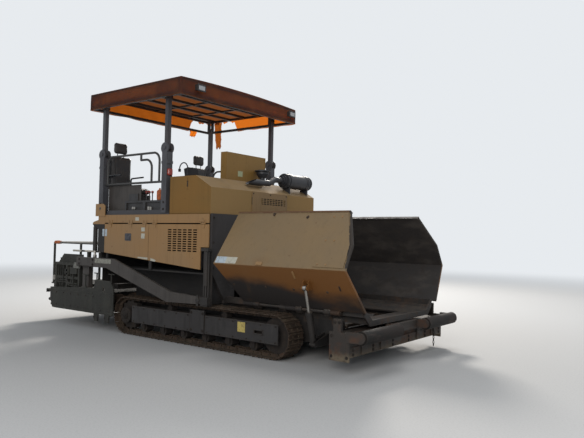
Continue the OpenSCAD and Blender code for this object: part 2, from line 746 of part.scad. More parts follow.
// Columns: place of each operator's display from the middle
displays = [-600, 600];

module console() color(ochre) {
  plate_yz([[head_y.x, hood_z + fit], [head_y.x, head_z], [head_y.y, head_z],
    [head_y.y, hood_z + 90], [head_y.y - 70, hood_z + fit]], head_x.x, head_x.y);
  plate_xz([[desk_x.y, plat_z + fit], [desk_x.y, desk_z], [desk_x.x + 60, desk_z],
    [desk_x.x, desk_z - 120], [desk_x.x + 120, desk_z - 330], [desk_x.x + 120, plat_z + fit]],
    -desk_y, desk_y);
  for (y = displays) {
    block([desk_x.x + 90, y - 20, desk_z - eps], [desk_x.x + 130, y + 20, desk_z + 61]);
    translate([desk_x.x + 110, y, desk_z + 150]) rotate([0, -12, 0])
      block([-55, -100, -100], [45, 100, 80]);
    gooseneck(desk_x.x + 200, y - 170);
  }
}

neck_r = 9;
neck_bend = 90;

// Bent pipe that carries the lamp over the desk
module gooseneck(x, y) {
  bar_z(x, y, desk_z - eps, desk_z + 210, neck_r);
  translate([x - neck_bend, y, desk_z + 210]) rotate([90, 0, 0])
    rotate_extrude(angle = 180) translate([neck_bend, 0]) circle(r = neck_r);
  bar_z(x - 2 * neck_bend, y, desk_z + 165, desk_z + 210 + eps, neck_r + 12);
}

module seat(side) color([0.2, 0.2, 0.2]) sided(side) {
  block([seat_x - 260, seat_y - 240, seat_z - 110], [seat_x + 240, seat_y + 240, seat_z]);
  block([seat_x - 370, seat_y - 230, seat_z - 60], [seat_x - 255, seat_y + 230, seat_z + 560]);
  block([seat_x - 350, seat_y - 140, seat_z + 560 - eps], [seat_x - 265, seat_y + 140,
    seat_z + 780]);
}

base_z = seat_z - 110 - fit;
locker_y = [1010, 1175];
locker_z = seat_z - 230;
// Places of the levers, ahead of the seat
lever_x = [640, 710, 780];

module seat_bases() color(dark) for (side = [-1, 1]) sided(side) {
  block([seat_x - 180, seat_y - 200, plat_z], [seat_x + 190, seat_y + 120, base_z - 60]);
  block([seat_x - 250, seat_y - 220, base_z - 80], [seat_x + 220, seat_y + 200, base_z]);
  difference() {
    block([seat_x + 230, locker_y.x, plat_z], [post_x1 - 120, locker_y.y, locker_z]);
    for (x = [seat_x + 260, seat_x + 720])
      block([x, locker_y.y - 25, locker_z - 160], [x + 400, locker_y.y + 1, locker_z - 30]);
  }
  block([seat_x + 300, locker_y.x + 20, locker_z - eps], [seat_x + 520, locker_y.y - 15, locker_z + 110]);
  for (x = lever_x) bar_z(seat_x + x, locker_y.x + 80, locker_z - eps, locker_z + 120, 8);
  for (x = lever_x) translate([seat_x + x, locker_y.x + 80, locker_z + 130]) sphere(r = 20);
}

rail_r = 17;
hoop_z0 = 2330;
hoop_z1 = 2775;
hoop_bend = 130;
// Columns: rear leg, front leg of each hoop, and its height
hoops = [[-1590, -330, hoop_z1], [-760, -505, hoop_z1 - 95]];

// Quarter bend of a rail from a leg at x up to the height z, rising towards +X or, with turn = 90, -X
module rail_bend(x, z, turn, bend)
  translate([x, post_y, z]) rotate([90, -turn, 0]) rotate_extrude(angle = 90)
    translate([bend, 0]) circle(r = rail_r);

module guard_rails() color(dark) for (side = [-1, 1]) sided(side) {
  bar_x(post_x0 + post_w / 2, post_x1 - post_w / 2, post_y, hoop_z0, rail_r);
  bar_z(hoops[0].x, post_y, hoop_z0, hoop_z1 - hoop_bend + eps, rail_r);
  bar_z(hoops[0].y, post_y, hoop_z0, hoop_z1 - hoop_bend + eps, rail_r);
  bar_x(hoops[0].x + hoop_bend - eps, hoops[0].y - hoop_bend + eps, post_y, hoop_z1, rail_r);
  rail_bend(hoops[0].y - hoop_bend, hoop_z1 - hoop_bend, 0, hoop_bend);
  rail_bend(hoops[0].x + hoop_bend, hoop_z1 - hoop_bend, 90, hoop_bend);
  bar_z(hoops[1].y, post_y, hoop_z0, hoops[1].z - hoop_bend + eps, rail_r);
  rail_bend(hoops[1].y - hoop_bend, hoops[1].z - hoop_bend, 0, hoop_bend);
  bar_x(hoops[1].x, hoops[1].y - hoop_bend + eps, post_y, hoops[1].z, rail_r);
  bar_z(hoops[1].x, post_y, hoops[1].z, hoop_z1, rail_r);
  translate([hoops[1].x, post_y, hoops[1].z]) sphere(r = rail_r);
}

ear_in = upper_w / 2 + gap;
slot_z = fold_z - upper_w / 2 - 12;
fold_pin_r = 14;
roof_pin_high = roof_z - roof_pin_z;
knuckle_top_r = 82;

module post_at(x) translate([x, post_y, 0]) children();

module lower_posts() color(steel) for (side = [-1, 1]) sided(side)
  for (x = [post_x0, post_x1]) post_at(x) {
    difference() {
      union() {
        block([-post_w / 2, -post_w / 2, plat_z], [post_w / 2, post_w / 2, fold_z]);
        bar_y(0, -post_w / 2, post_w / 2, fold_z, knuckle_top_r);
        block([-post_w / 2 - 12, -post_w / 2, fold_z - 230], [post_w / 2 + 12, post_w / 2, fold_z - 190]);
      }
      block([-post_w, -ear_in, slot_z], [post_w, ear_in, fold_z + post_w]);
    }
    bar_y(0, -post_w / 2 - 8, post_w / 2, fold_z, fold_pin_r);
    for (y = [-post_w / 2 - 14, post_w / 2 - eps]) bar_y(0, y, y + 14, fold_z, fold_pin_r + 10);
  }

module upper_posts(x) color(steel) for (side = [-1, 1]) sided(side) post_at(x) difference() {
  union() {
    block([-upper_w / 2, -upper_w / 2, fold_z], [upper_w / 2, upper_w / 2, roof_pin_high]);
    for (z = [fold_z, roof_pin_high]) bar_y(0, -upper_w / 2, upper_w / 2, z, upper_w / 2);
  }
  bar_y(0, -upper_w, upper_w, fold_z, fold_pin_r + fit);
  bar_y(0, -upper_w, upper_w, roof_pin_high, fold_pin_r + fit);
}

// Canopy

tube = 40;
crown = 45;
skirt_low = roof_z - skirt_z;
roof_bar_z = roof_z - crown - tube - gap;
frame_y = roof_y - 12 - 2;
frame_x0 = roof_x0 + 14;
frame_x1 = roof_x1 - 14;

module canopy_frame() color(dark) {
  for (side = [-1, 1]) sided(side) {
    block([frame_x0, frame_y - tube, skirt_low + 10], [frame_x1, frame_y, skirt_low + 10 + tube]);
    block([frame_x0, frame_y - tube, roof_bar_z], [frame_x1, frame_y, roof_bar_z + tube]);
    for (x = [frame_x0, frame_x1 - tube])
      block([x, frame_y - tube, skirt_low + 10], [x + tube, frame_y, roof_bar_z + eps]);
    for (x = [post_x0, post_x1]) {
      for (y = [post_y - ear_in - 12, post_y + ear_in])
        block([x - 35, y, roof_pin_high - 35], [x + 35, y + 12, roof_bar_z + tube]);
      bar_y(x, post_y - ear_in - 12, post_y + ear_in + 12, roof_pin_high, fold_pin_r);
    }
  }
  for (x = [frame_x0, post_x0 - tube / 2, -1310, -930, -550, post_x1 - tube / 2, frame_x1 - tube])
    block([x, -frame_y, roof_bar_z], [x + tube, frame_y, roof_bar_z + tube]);
  for (y = [-680, 0, 680])
    block([frame_x0 + eps, y - 15, roof_bar_z + 6], [frame_x1 - eps, y + 15, roof_bar_z + tube - 6]);
  for (x = [frame_x0, frame_x1 - tube])
    block([x, -frame_y, skirt_low + 10], [x + tube, frame_y, skirt_low + 10 + tube]);
  for (y = lamps) {
    block([frame_x1 - tube, y - 15, skirt_low + 10], [frame_x1 - tube + 25, y + 15, roof_bar_z + eps]);
    block([frame_x1 - tube + 20, y - 20, lamp_z - 20], [roof_x1 + 5, y + 20, lamp_z + 20]);
    plate_xz([[roof_x1 + 4, lamp_z - 38], [roof_x1 + 4, lamp_z + 38], [roof_x1 + 60, lamp_z + 50],
      [roof_x1 + 60, lamp_z - 50]], y - 85, y + 85);
  }
}

// Places of the work lights from the middle
lamps = [-1000, 1180];
lamp_z = roof_bar_z - 70;
tarp_t = 12;
// Torn corner of the skirt at the rear left: front end and inner end of the gap
torn = [-1140, 850];
function crown_z(y, z) = z + crown * (1 - pow(y / roof_y, 2)) - crown;

module canopy_tarp() color("peru") {
  difference() {
    plate_yz(concat([[roof_y, skirt_low]], [for (i = [8 : -1 : -8])
      [i / 8 * roof_y, crown_z(i / 8 * roof_y, roof_z)]], [[-roof_y, skirt_low]]), roof_x0, roof_x1);
    plate_yz(concat([[roof_y - tarp_t, skirt_low - 1]], [for (i = [8 : -1 : -8])
      [i / 8 * (roof_y - tarp_t), crown_z(i / 8 * roof_y, roof_z) - 5]],
      [[tarp_t - roof_y, skirt_low - 1]]), roof_x0 + tarp_t, roof_x1 - tarp_t);
    block([roof_x0 - 1, torn.y, skirt_low - 1], [torn.x, roof_y + 1, roof_bar_z]);
    for (y = lamps) block([roof_x1 - 40, y - 30, lamp_z - 30], [roof_x1 + 1, y + 30, lamp_z + 30]);
  }
  block([roof_x0, torn.y - 60, skirt_low - 110], [frame_x0 - fit, torn.y + 200, skirt_low + 45]);
  block([-1680, frame_y + fit, skirt_low - 330], [-1560, roof_y - 4, skirt_low + 50]);
}

// Tow columns, carriages and arms

column_x1 = 885;
column_y0 = body_y;
column_y1 = 1345;
column_z1 = 1370;
guide_x = [775, 862];
carriage_h = 100;
column_mid = 1300;

module tow_columns() color(dark) for (side = [-1, 1]) sided(side) {
  block([column_x0, column_y0, column_z0 - foot_t], [column_x1, column_y0 + 12, column_z1]);
  block([column_x0, column_y0, column_z0 - foot_t], [column_x1, column_y1, column_z0]);
  block([column_x0, column_y0, column_z1 - 40], [column_x1, column_y1, column_z1]);
  for (x = guide_x) bar_z(x, column_mid, column_z0 - eps, column_z1 - 30, 10);
  difference() {
    bar_z(818, column_mid, 860, column_z1 - 30, 30);
    bar_z(818, column_mid, 850, column_z1 - 60, 14 + fit);
  }
}

module tow_carriage(side) color(steel) sided(side) {
  difference() {
    block([tow_x + 55, 1268, tow_line_z - carriage_h / 2], [column_x1, 1340, tow_line_z + carriage_h / 2]);
    for (x = guide_x) bar_z(x, column_mid, tow_line_z - 100, tow_line_z + 100, 10 + fit);
  }
  for (y = [1268, arm_y + arm_t + 3]) {
    block([tow_x, y, tow_line_z - 40], [tow_x + 56, y + 12, tow_line_z + 40]);
    bar_y(tow_x, y, y + 12, tow_line_z, 40);
  }
  bar_y(tow_x, 1268, arm_y + arm_t + 15, tow_line_z, tow_pin_r);
  bar_z(818, column_mid, tow_line_z + carriage_h / 2 - eps, 1180, 14);
}

arm_back = -2200;
arm_z = 1000;
arm_low_z = over_track;

module tow_arm(side) color(steel) sided(side) difference() {
  union() {
    plate_xz([[tow_x, tow_line_z - 50], [tow_x, tow_line_z + 50], [120, arm_low_z + arm_h],
      [-1210, arm_z + arm_h], [arm_back, arm_z + arm_h], [arm_back, arm_z], [-1390, arm_z],
      [40, arm_low_z]], arm_y, arm_y + arm_t);
    bar_y(tow_x, arm_y, arm_y + arm_t, tow_line_z, 50);
    block([-2150, 1150, arm_z + 20], [-1980, arm_y + eps, arm_z + arm_h - 20]);
    block([-2150, 1150, screed_top], [-1980, 1230, arm_z + 20 + eps]);
    bar_y(lift_pin.x, lift_y - 20, arm_y + eps, lift_pin.y, lift_pin_r);
  }
  bar_y(tow_x, arm_y - 1, arm_y + arm_t + 1, tow_line_z, tow_pin_r + fit);
}

// Screed, extensions and walkway

module screed_box() color(dark) {
  plate_xz([[screed_x0, screed_z], [screed_x1 - 40, screed_z], [screed_x1, screed_z + 50],
    [screed_x1, screed_top - 80], [screed_x1 - 90, screed_top], [screed_x0, screed_top]],
    -screed_y, screed_y);
  plate_xz([[screed_x0 + eps, screed_z + 60], [screed_x0 + eps, screed_top],
    [screed_x0 - ext_len, screed_top], [screed_x0 - ext_len, screed_z + 60]], -15, 15);
  for (x = guides) bar_y(x, -1200, 1200, guide_h, guide_r);
}

guides = [screed_x0 - 150, screed_x0 - 470];
guide_h = screed_z + 220;
gate_y = screed_y + 15;
gate_t = 22;

module extension(side) color(dark) sided(side) {
  difference() {
    block([screed_x0 - ext_len - gap, 20, screed_z], [screed_x0 - gap, gate_y, screed_z + ext_h]);
    for (x = guides) bar_y(x, 0, gate_y - 30, guide_h, guide_r + fit);
  }
  difference() {
    plate_xz([[screed_x0 - ext_len + 70, 250], [-1250, 250], [-1250, 680], [-1340, 790],
      [-1740, 790], [-1760, 660], [screed_x0 - ext_len - 30, 600], [screed_x0 - ext_len - 30, 380]],
      gate_y, gate_y + gate_t);
    bar_y(-1500, gate_y - 1, gate_y + gate_t + 1, 640, 30);
  }
  for (x = [-1690, -1410]) plate_xz([[x - 60, 252], [x - 45, 130], [x + 45, 130], [x + 60, 252]],
    gate_y, gate_y + gate_t);
  end_guard();
}

guard_x = [-2960, -2230];
guard_top = 1180;
guard_inner = 1165;

// Upright guard on an extension's outer end, with its posts and the box of its controls
module end_guard() {
  plate_xz([[guard_x.x, screed_z + ext_h - 10], [guard_x.x, guard_top - 150],
    [guard_x.x + 150, guard_top], [guard_x.y, guard_top], [guard_x.y, screed_top + gap],
    [screed_x0 - 2 * gap, screed_top + gap], [screed_x0 - 2 * gap, screed_z + ext_h - 10]],
    guard_inner, guard_inner + 8);
  for (x = [guard_x.x + 5, guard_x.x + 330])
    block([x, guard_inner + 8 - eps, screed_z + ext_h - 10], [x + 40, gate_y - 15, guard_top - 150]);
  block([guard_x.y - 45, guard_inner + 8 - eps, screed_top + gap], [guard_x.y - 5, gate_y - 15,
    guard_top - 150]);
  block([guard_x.x + 5, guard_inner + 8 - eps, guard_top - 190], [guard_x.y - 5, gate_y - 15,
    guard_top - 150]);
  block([guard_x.x + 5, guard_inner + 8 - eps, 760], [guard_x.y - 5, gate_y - 20, 800]);
  block([guard_x.y - 260, guard_inner + 8 - eps, 850], [guard_x.y - 70, gate_y - 4, 960]);
}

deck_rail_y = 1120;
deck_rail_r = 18;
// Columns: place of each leg of the screed's side rail, and its height
rail_legs = [[foot_x + 130, rail_top], [-2390, rail_top], [-1850, rail_top]];
rail_front = body_x0 - 80;
low_rail_z = rail_top - 130;
low_rail_x = -2600;
// Top of the footboard
foot_z = 545;

module walkway() color(dark) {
  block([foot_x + 100, -1145, screed_top], [screed_x0 + 100, 1145, screed_top + 25]);
  for (y = [-1110, -15, 1080])
    block([foot_x + 120, y, foot_z - 25], [foot_x + 170, y + 30, screed_top + 10]);
  block([foot_x, -1180, foot_z - 25], [foot_x + 170, 1180, foot_z]);
  block([foot_x, -1180, foot_z - 65], [foot_x + 10, 1180, foot_z - 25 + eps]);
  for (x = [-2340, -2100]) for (y = [-1020, 180])
    block([x, y, screed_top + fit], [x + 190, y + 840, screed_top + 46]);
  for (side = [-1, 1]) sided(side) {
    for (l = rail_legs) bar_z(l.x, deck_rail_y, screed_top + fit, l.y, deck_rail_r + 2);
    bar_x(rail_legs[0].x, rail_front, deck_rail_y, rail_top, deck_rail_r);
    translate([rail_front, deck_rail_y, rail_top]) sphere(r = deck_rail_r + 2);
    bar_x(low_rail_x, rail_front, deck_rail_y, low_rail_z, deck_rail_r - 2);
    for (x = [low_rail_x, rail_front]) translate([x, deck_rail_y, low_rail_z]) sphere(r = deck_rail_r);
    block([-2240, deck_rail_y - 70, screed_top + fit], [-2190, deck_rail_y - 20, low_rail_z]);
    block([-2240, deck_rail_y - 100, 980], [-2050, deck_rail_y - 20 + eps, 1060]);
  }
  bar_y(rail_legs[0].x, -deck_rail_y, deck_rail_y, rail_top, deck_rail_r);
  bar_y(rail_legs[0].x, -deck_rail_y, deck_rail_y, 1010, deck_rail_r - 4);
}

// Lift cylinders between the body's rear wall and the tow arms

lift_pin = [-1850, 1075];
lift_top = [-1850, 1700];
lift_y = 1215;
lift_rod_r = 20;
lift_barrel_r = 36;
lift_pin_r = 15;
lift_play = 4;
slot_up = level_stroke + lift_pin_r + 8;

module lift_barrel(side) color(dark) sided(side) translate([lift_top.x, lift_y, lift_top.y]) {
  difference() {
    translate([0, 0, -440]) cylinder(h = 390, r = lift_barrel_r);
    translate([0, 0, -441]) cylinder(h = 370, r = lift_rod_r + fit);
  }
  difference() {
    union() {
      bar_y(0, -20, 20, 0, 30);
      block([-26, -20, -50 - eps], [26, 20, 0]);
    }
    bar_y(0, -30, 30, 0, lift_pin_r + fit);
  }
}

module lift_rod(side) color("silver") sided(side) translate([lift_pin.x, lift_y, lift_pin.y]) {
  translate([0, 0, slot_up + 30]) cylinder(h = 300, r = lift_rod_r);
  difference() {
    union() {
      block([-32, -14, 0], [32, 14, slot_up + 34]);
      bar_y(0, -14, 14, 0, 32);
    }
    bar_y(0, -20, 20, 0, lift_pin_r + lift_play);
    block([-lift_pin_r - lift_play, -20, 0], [lift_pin_r + lift_play, 20, slot_up]);
  }
}

// Augers and their carrier

module auger_frame() color(dark) {
  block([body_x0 + 60, -980, 640], [body_x0 + 200, 980, 720]);
  for (side = [-1, 1]) sided(side)
    block([body_x0 + 60, 300, 720 - eps], [body_x0 + 120, 360, deck_z - 80]);
  block([auger_x - 60, -50, auger_z - 90], [auger_x + 60, 50, 700]);
  bar_y(auger_x, -290, 290, auger_z, 28);
}

module auger(side) color(rust) sided(side) {
  difference() {
    bar_y(auger_x, 75, 1225, auger_z, 45);
    bar_y(auger_x, 70, 300, auger_z, 28 + fit);
  }
  translate([auger_x, 1210, auger_z]) rotate([90, 0, 0])
    linear_extrude(height = 1110, twist = 360 * 1110 / auger_pitch, slices = 64,
      segments = 4, $fn = 4)
      polygon([[40, 0], [auger_r, 0], auger_r * [cos(18), sin(18)], 40 * [cos(18), sin(18)]]);
}

main_frame();
undercarriage(-1);  // undercarriage_right
undercarriage(1);  // undercarriage_left
track(-1);  // track_right
track(1);  // track_left
conveyors();
hopper_bed();
wing(-1);  // wing_right
wing(1);  // wing_left
wing_barrel(-1);  // wing_barrel_right
wing_rod(-1);  // wing_rod_right
wing_barrel(1);  // wing_barrel_left
wing_rod(1);  // wing_rod_left
push_beam();
push_roller(-1);  // push_roller_right
push_roller(1);  // push_roller_left
body_shell();
door_rear(-1);  // door_rear_right
door_front(-1);  // door_front_right
door_rear(1);  // door_rear_left
door_front(1);  // door_front_left
bulkhead();
hood();
hood_panel();
engine();
platform();
console();
seat(-1);  // seat_right
seat(1);  // seat_left
seat_bases();
guard_rails();
lower_posts();
upper_posts(post_x0);  // upper_posts_rear
upper_posts(post_x1);  // upper_posts_front
canopy_frame();
canopy_tarp();
muffler();
tow_columns();
tow_carriage(-1);  // tow_carriage_right
tow_carriage(1);  // tow_carriage_left
tow_arm(-1);  // tow_arm_right
tow_arm(1);  // tow_arm_left
screed_box();
extension(-1);  // extension_right
extension(1);  // extension_left
walkway();
lift_barrel(-1);  // lift_barrel_right
lift_rod(-1);  // lift_rod_right
lift_barrel(1);  // lift_barrel_left
lift_rod(1);  // lift_rod_left
auger_frame();
auger(-1);  // auger_right
auger(1);  // auger_left
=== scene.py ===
import math

import bpy
import numpy as np
from mathutils import Matrix, Vector


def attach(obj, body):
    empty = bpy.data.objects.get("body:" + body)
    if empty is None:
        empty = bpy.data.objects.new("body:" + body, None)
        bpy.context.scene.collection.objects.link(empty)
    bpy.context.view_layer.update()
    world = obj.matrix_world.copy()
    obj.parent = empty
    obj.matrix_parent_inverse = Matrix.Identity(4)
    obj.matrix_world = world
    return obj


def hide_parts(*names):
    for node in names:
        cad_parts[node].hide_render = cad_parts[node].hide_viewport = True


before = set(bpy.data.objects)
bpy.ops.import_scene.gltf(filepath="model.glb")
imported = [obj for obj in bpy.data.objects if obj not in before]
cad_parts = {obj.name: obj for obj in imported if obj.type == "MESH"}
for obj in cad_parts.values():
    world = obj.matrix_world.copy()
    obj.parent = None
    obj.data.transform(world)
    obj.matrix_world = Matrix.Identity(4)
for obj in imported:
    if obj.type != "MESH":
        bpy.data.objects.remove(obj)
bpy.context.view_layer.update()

# Camera
# A person's eye at the roadside, ahead of the machine's right front corner. The lens, the tilt and the
# slight roll are those of the photograph.
eye = Vector((6.664, -7.07, 1.539))
yaw, pitch, roll = (math.radians(a) for a in (127.356, 1.777, 1.188))
ahead = Vector((math.cos(pitch) * math.cos(yaw), math.cos(pitch) * math.sin(yaw), math.sin(pitch)))
level_right = Vector((math.sin(yaw), -math.cos(yaw), 0.0))
level_up = level_right.cross(ahead)
camera_right = math.cos(roll) * level_right + math.sin(roll) * level_up
camera_up = math.cos(roll) * level_up - math.sin(roll) * level_right
camera = bpy.data.objects.new("camera", bpy.data.cameras.new("camera"))
camera.data.sensor_width = 36.0
camera.data.lens = 36.91
camera.data.clip_end = 400.0
turn = Matrix((camera_right, camera_up, -ahead)).transposed().to_4x4()
camera.matrix_world = Matrix.Translation(eye) @ turn
bpy.context.scene.collection.objects.link(camera)
bpy.context.scene.camera = camera
bpy.context.scene.view_settings.view_transform = "Standard"

# Studio floor and backdrop
# A pale matt floor that runs out into an even pale background. Lamps see a greyer floor than the
# camera does, so that little light comes up from it.
BACKDROP = (0.8, 0.83, 0.86)
FLOOR_R = 120.0


class Finish:
    """One surface finish: a base colour under layers, each mixed in by a mask from a pattern.

    colour, rough and height are the sockets, or plain values, that the next layer starts from."""

    def __init__(self, name, colour, rough=0.55, metal=0.0, gloss=0.5):
        self.material = bpy.data.materials.new(name)
        self.material.use_nodes = True
        self.tree = self.material.node_tree
        self.shader = self.tree.nodes["Principled BSDF"]
        self.shader.inputs["Metallic"].default_value = metal
        self.shader.inputs["Specular IOR Level"].default_value = gloss
        self.colour, self.rough, self.height = (*colour, 1.0), rough, None
        self.place = self.node("TexCoord").outputs["Object"]

    def node(self, kind, settings=None, **inputs):
        """Adds a node. An input is a value or the socket that feeds it; i0, i1 name inputs by number."""
        made = self.tree.nodes.new("ShaderNode" + kind)
        for key, value in (settings or {}).items():
            setattr(made, key, value)
        for key, value in inputs.items():
            socket = made.inputs[int(key[1:]) if key[1:].isdigit() else key.replace("_", " ")]
            self.feed(socket, value)
        return made

    def feed(self, socket, value):
        """Links a socket to another one, or writes its value."""
        if isinstance(value, bpy.types.NodeSocket):
            self.tree.links.new(value, socket)
        else:
            socket.default_value = value

    def noise(self, scale, stretch=(1, 1, 1), detail=5.0):
        """Cloudy pattern from 0 to 1, scale cells a metre, drawn out along an axis by a small stretch."""
        spot = self.node("Mapping", Vector=self.place, Scale=stretch).outputs[0]
        return self.node("TexNoise", Vector=spot, Scale=scale, Detail=detail, Roughness=0.6).outputs[0]

    def between(self, value, low, high):
        """0 where value is under low and 1 where it is over high, with a smooth step between."""
        made = self.node("MapRange", {"interpolation_type": "SMOOTHSTEP"}, Value=value)
        made.inputs["From Min"].default_value = low
        made.inputs["From Max"].default_value = high
        return made.outputs[0]

    def math(self, how, a, b=0.0):
        """One sum of two values, kept from 0 to 1: how is ADD, SUBTRACT, MULTIPLY, MAXIMUM or the like."""
        return self.node("Math", {"operation": how, "use_clamp": True}, i0=a, i1=b).outputs[0]

    def free(self, how, a, b=0.0):
        """One sum of two values that may leave the range from 0 to 1."""
        return self.node("Math", {"operation": how}, i0=a, i1=b).outputs[0]

    def times(self, *masks):
        """Product of masks."""
        made = masks[0]
        for mask in masks[1:]:
            made = self.math("MULTIPLY", made, mask)
        return made

    def axis(self, name):
        """Place along X, Y or Z in metres."""
        return self.node("SeparateXYZ", Vector=self.place).outputs[name]

    def off_middle(self):
        """Distance from the machine's middle plane in metres."""
        return self.free("ABSOLUTE", self.axis("Y"))

    def facing(self, name="Z"):
        """How far the face looks along an axis, from -1 to 1."""
        normal = self.node("NewGeometry").outputs["Normal"]
        return self.node("SeparateXYZ", Vector=normal).outputs[name]

    def facing_up(self, low=0.35, high=0.9):
        """1 on faces that look at the sky, where dust lies."""
        return self.between(self.facing(), low, high)

    def edges(self, width=0.006, least=0.02, most=0.22):
        """1 along sharp edges, where the coat is knocked off."""
        true_normal = self.node("NewGeometry").outputs["Normal"]
        soft = self.node("Bevel", {"samples": 4}, Radius=width).outputs[0]
        along = self.node("VectorMath", {"operation": "DOT_PRODUCT"}, i0=true_normal, i1=soft)
        return self.between(self.math("SUBTRACT", 1.0, along.outputs["Value"]), least, most)

    def corners(self, reach=0.1):
        """1 in inner corners and under overhangs, where dirt gathers and where shade falls."""
        shade = self.node("AmbientOcclusion", {"samples": 6}, Distance=reach).outputs["AO"]
        return self.between(self.math("SUBTRACT", 1.0, shade), 0.25, 0.85)

    def layer(self, colour, mask, rough=None, share=1.0):
        """Lays a colour, and a roughness, over what is there, as far as the mask says."""
        if share < 1.0:
            mask = self.math("MULTIPLY", mask, share)
        self.colour = self.node("MixRGB", Fac=mask, Color1=self.colour, Color2=(*colour, 1.0)).outputs[0]
        if rough is not None:
            span = self.node("MapRange", Value=mask)
            self.feed(span.inputs["To Min"], self.rough)
            span.inputs["To Max"].default_value = rough
            self.rough = span.outputs[0]
        return self

    def cloud(self, colour, scale, low, high, rough=None, share=1.0, stretch=(1, 1, 1), detail=5.0,
        within=None):
        """Lays a colour over the cloudy share of the surface; within is a mask that holds it back."""
        mask = self.between(self.noise(scale, stretch, detail), low, high)
        return self.layer(colour, mask if within is None else self.times(within, mask), rough, share)

    def ripple(self, value, turns):
        """Sine of a value times turns."""
        return self.free("SINE", self.free("MULTIPLY", value, turns))

    def bump(self, value, depth):
        """Raises the surface by depth metres where value is 1."""
        step = self.free("MULTIPLY", value, depth)
        self.height = step if self.height is None else self.free("ADD", self.height, step)
        return self

    def done(self, slot=None):
        """Joins the layers to the shader and gives the material. The slot is not used."""
        self.feed(self.shader.inputs["Base Color"], self.colour)
        self.feed(self.shader.inputs["Roughness"], self.rough)
        if self.height is not None:
            bump = self.node("Bump", Height=self.height, Distance=1.0, Strength=1.0)
            self.feed(self.shader.inputs["Normal"], bump.outputs[0])
        return self.material


def blend(coat, how_much, other):
    """Mixes the finished coat with another shader and puts the result out."""
    mix = coat.node("MixShader", i0=how_much, i1=coat.shader.outputs[0], i2=other)
    coat.feed(coat.tree.nodes["Material Output"].inputs["Surface"], mix.outputs[0])


def floor_material():
    """Matt grey for lamps; for the camera it runs out into the backdrop's colour with distance."""
    coat = Finish("studio_floor", (0.42, 0.42, 0.42), rough=0.9, gloss=0.2)
    coat.cloud((0.36, 0.36, 0.36), 60.0, 0.45, 0.75, detail=3.0)
    coat.done()
    distance = coat.node("VectorMath", {"operation": "LENGTH"}, i0=coat.place).outputs["Value"]
    path = coat.node("LightPath")
    seen = coat.math("MAXIMUM", path.outputs["Is Camera Ray"], path.outputs["Is Glossy Ray"])
    seen = coat.math("MAXIMUM", seen, path.outputs["Is Transmission Ray"])
    glow = coat.node("Emission", Color=(*BACKDROP, 1.0), Strength=1.0).outputs[0]
    far = coat.times(coat.between(distance, 6.0, 26.0), seen)
    around = coat.math("MULTIPLY", coat.times(coat.between(distance, 3.4, 7.5), seen), 0.25)
    blend(coat, coat.math("MAXIMUM", far, around), glow)
    return coat.material


bearing = np.linspace(0.0, 2 * np.pi, 96, endpoint=False)
rim = np.stack([FLOOR_R * np.cos(bearing), FLOOR_R * np.sin(bearing), np.full(96, -0.0015)], axis=1)
floor_mesh = bpy.data.meshes.new("floor")
floor_mesh.from_pydata(rim.tolist(), [], [list(range(96))])
floor = bpy.data.objects.new("floor", floor_mesh)
floor_mesh.materials.append(floor_material())
bpy.context.scene.collection.objects.link(floor)

world = bpy.data.worlds.new("studio")
world.use_nodes = True
bpy.context.scene.world = world
sky = world.node_tree
sky_path = sky.nodes.new("ShaderNodeLightPath")
sky_seen = sky.nodes.new("ShaderNodeMath")
sky_seen.operation = "MAXIMUM"
sky_mix = sky.nodes.new("ShaderNodeMixShader")
sky_light = sky.nodes["Background"]
sky_light.inputs["Color"].default_value = (0.88, 0.94, 1.0, 1.0)
sky_light.inputs["Strength"].default_value = 0.5
sky_shown = sky.nodes.new("ShaderNodeBackground")
sky_shown.inputs["Color"].default_value = (*BACKDROP, 1.0)
for source, target in [(sky_path.outputs["Is Camera Ray"], sky_seen.inputs[0]),
    (sky_path.outputs["Is Glossy Ray"], sky_seen.inputs[1]), (sky_seen.outputs[0], sky_mix.inputs["Fac"]),
    (sky_light.outputs[0], sky_mix.inputs[1]), (sky_shown.outputs[0], sky_mix.inputs[2]),
    (sky_mix.outputs[0], sky.nodes["World Output"].inputs["Surface"])]:
    sky.links.new(source, target)

# Columns: name, place, width, power in watts, colour. All lamps look at the middle of the machine.
lamps = [("lamp_behind", (-6.0, 10.5, 9.0), 3.0, 3000.0, (1.0, 0.94, 0.86)),
    ("lamp_above", (0.5, 3.2, 10.5), 6.0, 420.0, (1.0, 0.98, 0.95)), ("lamp_beside", (7.2, -12.2, 5.5), 6.0,
    860.0, (1.0, 0.97, 0.93))]
for name, place, width, power, tint in lamps:
    lamp = bpy.data.lights.new(name, "AREA")
    lamp.size, lamp.energy, lamp.color = width, power, tint
    holder = bpy.data.objects.new(name, lamp)
    holder.location = place
    holder.rotation_euler = (Vector((0.3, 0.0, 1.6)) - Vector(place)).to_track_quat("-Z", "Y").to_euler()
    bpy.context.scene.collection.objects.link(holder)

# Tracks
# Single-grouser steel shoes, each held by four bolts on a chain of forged links and pins. They are
# rusty all over, with ochre dust and dried mud in the corners and bare metal on what touches the road.
RUST = (0.043, 0.028, 0.019)
MUD = (0.085, 0.066, 0.045)
TRACK_Y = 1.07
LINK_R, RUN_X0, RUN_X1, AXLE_Z = 0.265, -1.01, 1.91, 0.29
SHOES = 53
SIDES = ((-1, "right"), (1, "left"))


def wear(*nodes, material):
    """Gives CAD nodes their finish."""
    for name in nodes:
        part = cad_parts[name]
        part.data.materials.clear()
        part.data.materials.append(material)


